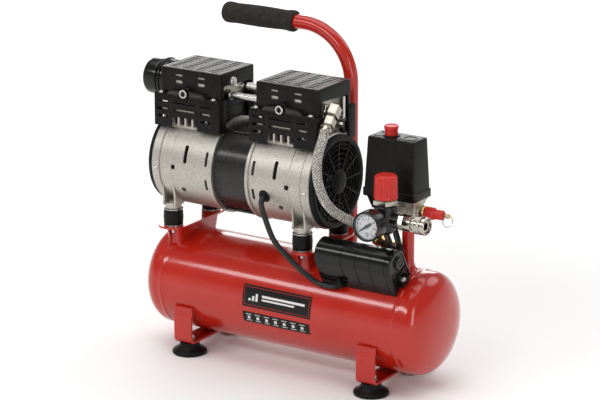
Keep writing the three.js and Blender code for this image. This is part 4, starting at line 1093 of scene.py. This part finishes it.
# ---------------------------------------------------------------- pressure switch and fittings
COLUMN_X, FITTINGS_Z = 168.0, 244.0
BUTTON_X, GAUGE_Z = 140.5, 245.6


def build_column():
    riser = spin([(154, 8.2), (236, 8.2), (236, 0)], "z", (COLUMN_X, 0, 0), 48)
    piece("riser", riser, red_enamel, "riser_pipe")
    z = FITTINGS_Z
    lower = block((157.6, 184), (-13, 13), (236.3, 253), 1.4)
    flare = stack(172.4, (13, 13, 3, 251), (13.6, 15, 3, 254.5), (14.8, 19, 3, 258.6), (14.8, 19, 3, 259.7))
    reach = spin([(-38.2, 0), (-38.2, 7.4), (-37.4, 8), (-12, 8), (-12, 0)], "y", (165.4, 0, z), 40)
    outlet = spin([(182, 0), (182, 9), (186.4, 9), (187, 8.4), (187, 0)], "x", (0, 0, z), 40)
    base = hexagon(229, 236.3, 11.5, "z", (COLUMN_X, 0, 0))
    piece("pedestal", (lower, flare, reach, outlet, base), cast, "manifold", sharp=40)

    six = hexagon(187.3, 193.2, 8.6, "x", (0, 0, z))
    throat = spin([(192.8, 0), (192.8, 6), (194, 4.6), (205, 4.6), (205, 0)], "x", (0, 0, z), 32)
    inner = spin([(179, 0), (179, 5), (187.5, 5)], "x", (0, 0, z), 32)
    piece("relief_body", (six, throat, inner), brass, "safety_valve_body")
    profile = [(194.3, 5), (194.3, 8.0), (195, 8.3), (198, 8.3), (198.5, 7.9), (199.3, 7.9), (199.8, 8.3),
               (202, 8.3), (202.5, 7.9), (203.3, 7.9), (203.8, 8.3), (206.4, 8.3), (207.4, 7.5), (208, 6.6),
               (219.6, 6.5), (220.6, 5.9), (221, 5), (221, 2.2), (218, 2.2)]
    cap = spin(profile, "x", (0, 0, z), 48)
    piece("relief_cap", cap, red_moulded, "safety_valve_cap")
    pin = spin([(199, 0), (199, 1.6), (224.6, 1.6)], "x", (0, 0, z), 20)
    eye = prism(circle(227.2, z, 3.4, 32), -1, 1, "y", [circle(227.2, z, 1.7, 24)])
    piece("relief_pin", (pin, eye), brass, "safety_valve_pin")
    turn = math.radians(30)
    radius = 7.3
    centre = Vector((227.2, 0, z - radius))
    across = Vector((math.sin(turn), math.cos(turn), 0))
    loops = []
    for k in range(73):
        a = FULL * k / 36
        side = Vector((math.cos(turn), -math.sin(turn), 0)) * (0.26 * math.cos(a / 2))
        loops.append(centre + across * (radius * math.sin(a)) + Vector((0, 0, radius * math.cos(a))) + side)
    piece("split_ring", tube(loops, 0.58, 10), steel, "safety_ring")


def build_switch():
    left, right, half_y = 110.6, 189.0, 22.4
    mid, half = (left + right) / 2, (right - left) / 2
    cover = loft([
        section(half - 1.2, half_y - 1.2, 3, 270.5, mid), section(half - 1.2, half_y - 1.2, 3, 271.5, mid),
        section(34.8, 18.5, 3, 338.2, 149.8), section(34.3, 18.0, 3, 339.5, 149.8),
        section(33.2, 16.9, 3, 340, 149.8),
    ])
    lip = stack(mid, (half - 0.5, half_y - 0.5, 2, 260), (half, half_y, 2.2, 260.6),
                (half, half_y, 2.2, 270.2), (half - 0.7, half_y - 0.7, 2.2, 271),
                (half - 1.3, half_y - 1.3, 2.2, 271.2))
    bore = rod(330, 350, 9.2, "z", (BUTTON_X, 0, 0))
    cover = carved(cover, bore)
    collar = spin([(330, 9.0), (330, 11.4), (340.8, 11.4), (341.5, 10.8), (341.5, 9.4), (340.6, 9.0),
                   (330, 9.0)], "z", (BUTTON_X, 0, 0), 48)
    well = spin([(331, 0), (331, 9.1)], "z", (BUTTON_X, 0, 0), 48)
    marks = []
    ring = spin([(339.4, 8.8), (340.6, 8.8), (340.6, 10), (339.4, 10)], "z", (169, 0, 0), 40)
    marks.append(ring)
    for angle in (40, 90, 140):
        a = math.radians(angle)
        bar = block((11, 14.6), (-0.7, 0.7), (339.4, 340.5), 0.2)
        marks.append(moved(bar, Matrix.Translation((169, 0, 0)) @ Matrix.Rotation(a + math.pi, 4, "Z")))
    for x, w in ((122, 4), (128.5, 5)):
        marks.append(block((x - w / 2, x + w / 2), (-10, -8.4), (339.4, 340.5), 0.2))
        marks.append(block((x - w / 2, x + w / 2), (9, 10.6), (339.4, 340.5), 0.2))
    piece("switch_housing", (cover, lip, collar, well, *marks), black_moulded, "switch_cover", sharp=40)
    base = stack(135, (16, 13.5, 3, 242), (21.6, 18.6, 3, 259.8))
    tray = block((left + 2.4, right - 2.4), (-19.9, 19.9), (259, 262), 0.4)
    glands = [spin([(0, 0), (0, 7.2), (3, 7.2), (5.5, 6.2), (8, 4.9), (8, 0)], Vector(d), at, 32, soft=0.5)
              for at, d in (((131, -7, 243), (0.02, -0.02, -1)), ((146, -6, 243), (0.05, -0.03, -1)))]
    piece("switch_tray", (base, tray, *glands), black_moulded, "switch_base", sharp=40)

    outline = [(322, 0), (322, 5), (336, 5), (336, 8.2), (341, 8.3), (346.6, 8.2), (347.6, 8.5),
               (349.6, 9.3), (352.6, 9.75), (353.6, 9.5), (354, 8.7), (354, 7.8), (353.2, 7.0), (353.0, 0)]
    knob = spin(outline, "z", (BUTTON_X, 0, 0), 48, soft=0.3)
    grip, middle = block((7.9, 8.6), (-0.4, 0.4), (341.5, 348), 0.2, 2), Matrix.Translation((BUTTON_X, 0, 0))
    grips = [moved(grip, middle @ Matrix.Rotation(FULL * i / 18, 4, "Z")) for i in range(18)]
    piece("pull_button", (knob, *grips), red_moulded, "switch_knob", sharp=40)


REGULATOR = (165.4, -54.0)


def build_regulator():
    x, y = REGULATOR
    z = FITTINGS_Z
    body = spin([(225, 0), (225, 8.2), (226, 9), (229, 12.5), (233, 14.5), (252, 14.5), (254, 15.2),
                 (262.4, 15.2), (263.6, 14.4), (263.6, 9.6), (281, 9.6), (281, 0)], "z", (x, y, 0), 64,
                soft=0.8)
    ports = [
        spin([(y + 8, 0), (y + 8, 9.4), (-40, 9.4), (-38.5, 8.6), (-38.5, 0)], "y", (x, 0, z), 40, soft=0.5),
        spin([(-77, 0), (-77, 6.6), (-76.3, 7.4), (y - 8, 8.2), (y - 8, 0)], "y", (x, 0, GAUGE_Z), 40,
             soft=0.5),
        spin([(x + 8, 0), (x + 8, 9.6), (186.4, 9.6), (188, 8.8), (188, 0)], "x", (0, y, z), 40, soft=0.5),
        block((x - 13, x + 13), (y - 6, y + 6), (236, 252), 2.2),
    ]
    piece("regulator_housing", (body, *ports), black_metal, "regulator_body", sharp=50)
    nut = carved(hexagon(264.3, 272, 18.2, "z", (x, y, 0), soft=1.2),
                 rod(255, 280, 10.1, "z", (x, y, 0)))
    piece("regulator_ring_nut", nut, nickel, "regulator_nut")

    flutes, steps = 22, 176

    def row(height, radius, depth):
        pts = []
        for i in range(steps):
            a = FULL * i / steps
            wave = max(0.0, math.cos(flutes * a)) ** 0.5
            r = radius - depth * wave
            pts.append((x + r * math.cos(a), y + r * math.sin(a), height))
        return pts

    knob = loft([row(272.4, 15.2, 0), row(272.8, 15.75, 0), row(276.4, 15.75, 0), row(276.9, 15.6, 0),
                 row(277.4, 15.5, 0.95), row(299.0, 14.9, 0.95), row(300.5, 14.75, 0.6),
                 row(301.6, 14.4, 0.15), row(302.9, 13.4, 0), row(303.7, 12, 0), row(304, 10, 0)])
    piece("regulator_cap", knob, red_moulded, "regulator_knob", sharp=46)


def text_shape(words, size, at):
    """Flat raised figures facing the operator, centred at a place on the dial."""
    curve = bpy.data.curves.new("figures", "FONT")
    curve.body = words
    curve.size = size
    curve.align_x = "CENTER"
    curve.align_y = "CENTER"
    curve.extrude = 0.03
    curve.offset = 0.05
    holder = bpy.data.objects.new("figures", curve)
    bpy.context.collection.objects.link(holder)
    mesh = bpy.data.meshes.new_from_object(holder.evaluated_get(bpy.context.evaluated_depsgraph_get()))
    bm = bmesh.new()
    bm.from_mesh(mesh)
    bpy.data.meshes.remove(mesh)
    bpy.data.objects.remove(holder)
    bpy.data.curves.remove(curve)
    bm.transform(Matrix.Translation(at) @ Matrix.Rotation(math.pi / 2, 4, "X"))
    return bm


def build_gauge():
    x, z = REGULATOR[0], GAUGE_Z
    front, back, radius = -104.0, -79.8, 19.8
    dial_y = -99.0
    case = spin(
        [(front + 1.6, radius - 2.6), (front + 0.4, radius - 2.2), (front, radius - 1.2),
         (front + 0.5, radius - 0.2), (front + 2.4, radius), (front + 4.6, radius), (front + 5, radius - 0.5),
         (front + 5.6, radius - 0.5), (front + 6, radius - 0.1), (back - 4, radius - 0.1),
         (back - 1.2, radius - 1.2), (back, radius - 4), (back, 0)],
        "y", (x, 0, z), 96, soft=0.4,
    )
    inner = spin([(dial_y + 0.4, 0), (dial_y + 0.4, 17.4), (front + 1.6, 17.3)], "y", (x, 0, z), 96)
    stem = hexagon(-80.5, -77.2, 7.2, "y", (x, 0, z))
    piece("gauge_housing", (case, inner, stem), black_gloss, "gauge_case", sharp=45)
    dial = rod(dial_y + 0.3, dial_y - 0.2, 17.1, "y", (x, 0, z), 96)
    piece("gauge_dial", dial, dial_white)

    def mark(angle, inner_r, outer_r, half):
        """A tick on the dial, its angle counted from +X towards +Z."""
        a = math.radians(angle)
        out = Vector((math.cos(a), 0, math.sin(a)))
        side = Vector((-math.sin(a), 0, math.cos(a))) * half
        centre = Vector((x, dial_y - 0.26, z))
        bm = bmesh.new()
        bm.faces.new([bm.verts.new(centre + (out * r + edge)) for r, edge in
                      ((inner_r, side), (inner_r, -side), (outer_r, -side), (outer_r, side))])
        return bm

    sweep = [215 - 270 * i / 60 for i in range(61)]
    ticks = [mark(a, 14.4 if i % 5 else 12.9, 15.9, 0.24 if i % 5 else 0.48) for i, a in enumerate(sweep)]
    figures = []
    for k in range(7):
        a = math.radians(215 - 45 * k)
        place = (x + 10.6 * math.cos(a), dial_y - 0.26, z + 10.6 * math.sin(a))
        figures.append(text_shape(str(2 * k), 4.3, place))
    piece("gauge_scale", (*ticks, *figures), print_black)
    arc = [mark(215 - 270 * (40 + i * 0.5) / 60, 14.2, 16.2, 0.36) for i in range(33)]
    arc += [mark(215 - 270 * i / 24, 7.4, 8.2, 0.24) for i in range(25) if 6 < i]
    piece("gauge_red_arc", arc, print_red)
    symbol = [mark(262, 8.4, 10.6, 0.8), mark(278, 8.4, 10.6, 0.8), mark(270, 11.8, 12.6, 2.4),
              mark(270, 13.4, 14.0, 1.6)]
    piece("gauge_mark", symbol, print_black)

    outline = rounded([(-7.8, -1.3), (-7.4, -1.8), (-1.8, -1.6), (0, -1.9), (13.6, -0.42), (14.1, 0),
                       (13.6, 0.42), (0, 1.9), (-1.8, 1.6), (-7.4, 1.8), (-7.8, 1.3)], 0.3, 3, closed=True)
    pointer = prism(outline, 0, 0.5)
    a = math.radians(215)
    stand = Matrix.Translation((x, dial_y - 0.9, z)) @ Matrix.Rotation(math.pi / 2, 4, "X")
    pointer.transform(stand @ Matrix.Rotation(a, 4, "Z"))
    pivot = spin([(dial_y - 2.2, 0), (dial_y - 2.2, 1.9), (dial_y - 1.9, 2.4), (dial_y - 0.5, 2.4)], "y",
                 (x, 0, z), 32)
    piece("gauge_pointer", (pointer, pivot), print_black, "gauge_needle")
    lens = rod(front + 1.1, front + 1.7, 17.2, "y", (x, 0, z), 96)
    piece("gauge_lens", lens, lens_clear)


def build_coupler():
    y, z = REGULATOR[1], FITTINGS_Z
    at = (0, y, z)
    six = hexagon(188.3, 195.6, 11.2, "x", at)
    barrel = spin([(195, 0), (195, 10.2), (195.8, 10.8), (206.4, 10.8), (207, 10.2), (207.3, 8.6),
                   (225, 8.6), (225.8, 8.0), (226, 6.6), (225.4, 5.25), (208, 5.25), (208, 0)], "x", at, 72)
    piece("coupler_barrel", (six, barrel), nickel, "coupler_body", sharp=38)
    # Sleeve: a knurled band, a plain lip, and six lobes round the mouth.
    steps, lobes = 192, 6

    def row(along, radius, knurl=0.0, lobe=0.0, phase=0.0):
        pts = []
        for i in range(steps):
            a = FULL * i / steps
            r = radius + knurl * math.cos(32 * a + phase) + lobe * max(0.0, math.cos(lobes * a))
            pts.append((along, y + r * math.cos(a), z + r * math.sin(a)))
        return pts

    sections = [row(211.3, 9.1), row(211.3, 11.2), row(211.8, 11.7), row(212.4, 11.75)]
    for k in range(7):
        sections.append(row(212.8 + k * 0.95, 11.7, 0.42, 0, math.pi * (k % 2)))
    sections += [row(219.2, 11.6), row(219.6, 11.2), row(220.3, 11.2), row(220.8, 11.7), row(222.4, 12.0),
                 row(226.6, 12.0), row(227.9, 11.6), row(228.4, 10.9), row(228.3, 10.2),
                 row(227.2, 9.5, 0, 0.7), row(225.6, 8.95, 0, 1.1), row(221, 8.9, 0, 1.0), row(216, 9.0)]
    bm = loft([*sections, sections[0]], caps=False)
    piece("coupler_collar", bm, nickel, "coupler_sleeve", sharp=40)


# ---------------------------------------------------------------- capacitor box and leads
BOX = {"left": 66.0, "right": 182.0, "radius": 21.4, "depth": 36.0}
BOX_FRAME = Matrix.Translation((0, -50.6, 181.4)) @ Matrix.Rotation(math.radians(29.4), 4, "X")


def box_row(along, inset=0.0):
    r = BOX["radius"] - inset
    depth = BOX["depth"]
    arc = [(r * math.cos(math.pi * i / 24), r * math.sin(math.pi * i / 24)) for i in range(25)]
    return [(along, a, b) for a, b in [(r, -depth), *arc, (-r, -depth)]]


def build_capacitor():
    left, right, wide = BOX["left"], BOX["right"], BOX["radius"]
    sections = [box_row(left, 3.0), box_row(left + 0.6, 1.2), box_row(left + 2.0, 0)]
    for x in (right - 8 - i * 22 for i in range(3, -1, -1)):
        sections += [box_row(x + dx, inset) for dx, inset in ((-1, 0), (-0.55, 0.75), (0.55, 0.75), (1, 0))]
    sections += [box_row(right - 2.2, 0), box_row(right - 0.7, 0.9), box_row(right, 2.6),
                 box_row(right - 0.1, 3.4), box_row(right - 1.3, 3.9)]
    shell = loft(sections)
    boss = spin([(right - 2, 0), (right - 2, 11), (right - 0.4, 10.6), (right - 0.4, 9.2),
                 (right + 1.6, 8.9), (right + 2.0, 8.4), (right + 2.0, 5.6),
                 (right + 0.9, 5.0), (right + 0.9, 3.4), (right + 1.8, 2.9),
                 (right + 1.8, 0)], "x", (0, 5, 1), 48, soft=0.3)
    rib = block((right - 2, right + 0.6), (-17.4, 17.4), (-15.6, -13.9), 0.5)
    tab = prism(rectangle(right + 2.5, 0, 5.2, 9, 2.5), -29, -21)
    lid = block((left + 0.5, right - 0.5), (-wide - 0.55, wide + 0.55), (-24.2, -22.6), 0.4)
    shapes = [moved(s, BOX_FRAME) for s in (shell, boss, rib, tab, lid)]
    piece("capacitor_housing", shapes, black_gloss, "capacitor_box", sharp=38)
    screw = moved(shifted(screw_head((0, 0, 0), 3.9, 2.6), right + 3.2, -2, -21), BOX_FRAME)
    piece("capacitor_screw", screw, steel)


MOTOR_LEAD = [
    (-18, -58.5, 247.4), (-18, -64, 246), (-16.8, -70.5, 242), (-13, -75, 234), (-6, -76.4, 219.2),
    (3.6, -76, 198), (11, -74.5, 187), (24.5, -71, 173), (39, -68, 160), (54.2, -64.6, 148.3),
    (67, -60.6, 140.5), (79, -60, 139), (91, -60, 140.6), (97.4, -58.8, 144.4),
]
SWITCH_LEADS = {
    "a": [(131, -7, 241.6), (131.5, -7.3, 233), (134.5, -8.3, 222), (139.5, -10, 209.5), (147, -14, 200.5),
          (154, -20.2, 195.2), (157.5, -25.4, 192.9)],
    "b": [(146, -6, 241.6), (146.5, -6.5, 235), (149.5, -8, 225), (153.5, -10, 215.7), (160, -14, 204.5),
          (166.5, -20.2, 196.6), (169.5, -25.4, 193.4)],
}


def build_leads():
    piece("motor_cable", tube(smooth_path(MOTOR_LEAD, 8), 3.75, 24), jacket, "motor_lead")
    for name, route in SWITCH_LEADS.items():
        piece(f"switch_cable_{name}", tube(smooth_path(route, 8), 4.1, 24), jacket, f"switch_lead_{name}")
    grommet = spin([(60.8, 4.0), (60.8, 9.2), (63.4, 9.2), (65.6, 7.6), (66.4, 6.2), (66.4, 4.0)], "z",
                   steps=40, soft=0.5)
    piece("motor_grommet", radial(grommet, -18, 105.6), rubber)
    b = Vector((97.4, -58.8, 144.4))
    gland = spin([(-5, 0), (-5, 5.8), (1, 6.6), (7, 7.0), (7, 0)], Vector((0.8, 0.15, 0.5)), b, 32, soft=0.5)
    piece("box_gland", gland, rubber)
    for name, route in SWITCH_LEADS.items():
        end, before = Vector(route[-1]), Vector(route[-2])
        boot = spin([(-9, 4.4), (-8, 5.2), (0, 6.4), (6, 6.8)], end - before, end, 32, soft=0.5)
        piece(f"switch_cable_boot_{name}", boot, rubber)


def build_drain():
    screw = spin([(5, 0), (5, 6.4), (5.6, 7), (6, 8), (13.0, 8.2), (14.6, 7), (14.6, 4.8), (23, 4.8),
                  (23, 0)], "z", (0, 0, 0), 48, soft=0.3)
    wing = block((-1.5, 1.5), (-7, 7), (3, 6), 0.5)
    ribs = [moved(block((7.7, 8.5), (-0.5, 0.5), (6.4, 12.8), 0.2, 2), Matrix.Rotation(FULL * i / 20, 4, "Z"))
            for i in range(20)]
    piece("drain_plug", [shifted(s, DRAIN_X) for s in (screw, wing, *ribs)], brass, "drain_screw")


# ---------------------------------------------------------------- plain labels on the tank
def tank_patch(x0, x1, a0, a1, lift, thick=0.12):
    """A thin panel that follows the tank, between two angles from the top towards the front."""
    rows, columns = 14, 2
    bm = bmesh.new()
    grid = []
    for r in (TANK["radius"] + lift - thick, TANK["radius"] + lift):
        sheet = []
        for i in range(rows + 1):
            a = math.radians(a0 + (a1 - a0) * i / rows)
            sheet.append([bm.verts.new((x0 + (x1 - x0) * k / columns, -r * math.sin(a),
                                        TANK["z"] + r * math.cos(a))) for k in range(columns + 1)])
        grid.append(sheet)
    for sheet in grid:
        for i in range(rows):
            for k in range(columns):
                bm.faces.new((sheet[i][k], sheet[i][k + 1], sheet[i + 1][k + 1], sheet[i + 1][k]))
    low, high = grid
    for i in range(rows):
        for k in (0, columns):
            bm.faces.new((low[i][k], low[i + 1][k], high[i + 1][k], high[i][k]))
    for k in range(columns):
        for i in (0, rows):
            bm.faces.new((low[i][k], low[i][k + 1], high[i][k + 1], high[i][k]))
    bmesh.ops.recalc_face_normals(bm, faces=bm.faces)
    return bm


def build_labels():
    sheet, ink = 0.2, 0.3  # how far the labels and their print stand off the tank
    panel = [tank_patch(-49, 60, 66, 91, sheet), tank_patch(-49, 58, 97, 110, sheet)]
    piece("tank_labels", panel, label_black)
    x0, x1, a0, a1, line = -46.5, 57.5, 68.2, 88.8, 0.55
    step = math.degrees(line / TANK["radius"])
    border = [
        tank_patch(x0, x1, a0, a0 + step, ink), tank_patch(x0, x1, a1 - step, a1, ink),
        tank_patch(x0, x0 + line, a0, a1, ink), tank_patch(x1 - line, x1, a0, a1, ink),
    ]
    piece("tank_label_red", border, print_red)
    pale = [
        tank_patch(-18, 50, 75.4, 78.0, ink), tank_patch(-18, 34, 79.6, 81.6, ink),
        *(tank_patch(-39 + i * 5.5, -35.5 + i * 5.5, 81 - i * 3, 83.5, ink) for i in range(3)),
    ]
    for i in range(7):
        x = -43.5 + i * 14.2
        pale += [tank_patch(x, x + 8.6, 99.4, 100.1, ink), tank_patch(x, x + 8.6, 107.0, 107.7, ink),
                 tank_patch(x + 2.2, x + 6.4, 102, 105.4, ink)]
    piece("tank_label_marks", pale, label_pale)


# ---------------------------------------------------------------- glass, floor and lights
def finish_glass():
    lens_clear.use_nodes = True
    tree = lens_clear.node_tree
    shader = tree.nodes["Principled BSDF"]
    smear = tree.nodes.new("ShaderNodeTexNoise")
    smear.inputs["Scale"].default_value = 90
    spread = ranged(tree.nodes, tree.links.new, smear.outputs["Fac"], 0, 1, 0.02, 0.07)
    tree.links.new(spread, shader.inputs["Roughness"])
    shader.inputs["Base Color"].default_value = (0.5, 0.52, 0.54, 1)
    shader.inputs["Alpha"].default_value = 0.07


def build_stage():
    size = 6.0
    ground = bmesh.new()
    ground.faces.new([ground.verts.new((x, y, 0)) for x, y in
                      ((-size, -size), (size, -size), (size, size), (-size, size))])
    mesh = bpy.data.meshes.new("floor")
    ground.to_mesh(mesh)
    floor = bpy.data.objects.new("floor", mesh)
    bpy.context.collection.objects.link(floor)
    paint = bpy.data.materials.new("floor_white")
    paint.use_nodes = True
    shader = paint.node_tree.nodes["Principled BSDF"]
    shader.inputs["Base Color"].default_value = (0.92, 0.92, 0.915, 1)
    shader.inputs["Roughness"].default_value = 0.9
    mesh.materials.append(paint)

    world = bpy.data.worlds.new("studio")
    bpy.context.scene.world = world
    world.use_nodes = True
    # A pale band round the horizon under a dimmer sky.
    nodes, link = world.node_tree.nodes, world.node_tree.links.new
    background = nodes["Background"]
    background.inputs["Color"].default_value = (1, 0.995, 0.985, 1)
    split = nodes.new("ShaderNodeSeparateXYZ")
    link(nodes.new("ShaderNodeTexCoord").outputs["Generated"], split.inputs["Vector"])
    link(ranged(nodes, link, split.outputs["Z"], 0.10, 0.22, 0.86, 0.28), background.inputs["Strength"])

    def lamp(name, kind, place, aim, power, width=1.0, height=1.0):
        data = bpy.data.lights.new(name, kind)
        data.energy = power
        if kind == "AREA":
            data.shape, data.size, data.size_y = "RECTANGLE", width, height
        else:
            data.angle = math.radians(width)
        light = bpy.data.objects.new(name, data)
        light.location = place
        light.visible_camera = False
        light.rotation_euler = (Vector(aim) - Vector(place)).to_track_quat("-Z", "Y").to_euler()
        bpy.context.collection.objects.link(light)

    middle = (0, 0, 0.2)
    lamp("overhead", "SUN", (-0.3, 0.2, 3), (0, 0, 0), 1.45, 60)
    lamp("behind", "SUN", (1.2, 2.4, 2.2), (0, 0, 0), 0.5, 30)
    lamp("key", "AREA", (-0.5, -2.0, 1.7), middle, 26, 2.4, 0.34)
    lamp("side", "AREA", (2.4, -1.4, 1.0), middle, 12, 0.35, 1.5)
    lamp("sheen", "AREA", (-1.7, 2.6, 1.25), (0, 0, 0.4), 28, 2.6, 0.9)


for build in (
    finish_glass, build_tank, build_feet, build_handle, build_saddles, build_crankcases, build_stator,
    build_rotor, build_grilles, build_pistons, build_guides, build_heads, build_intake, build_hose,
    build_column, build_switch, build_regulator, build_gauge, build_coupler, build_capacitor,
    build_leads, build_drain, build_labels, build_stage,
):
    build()
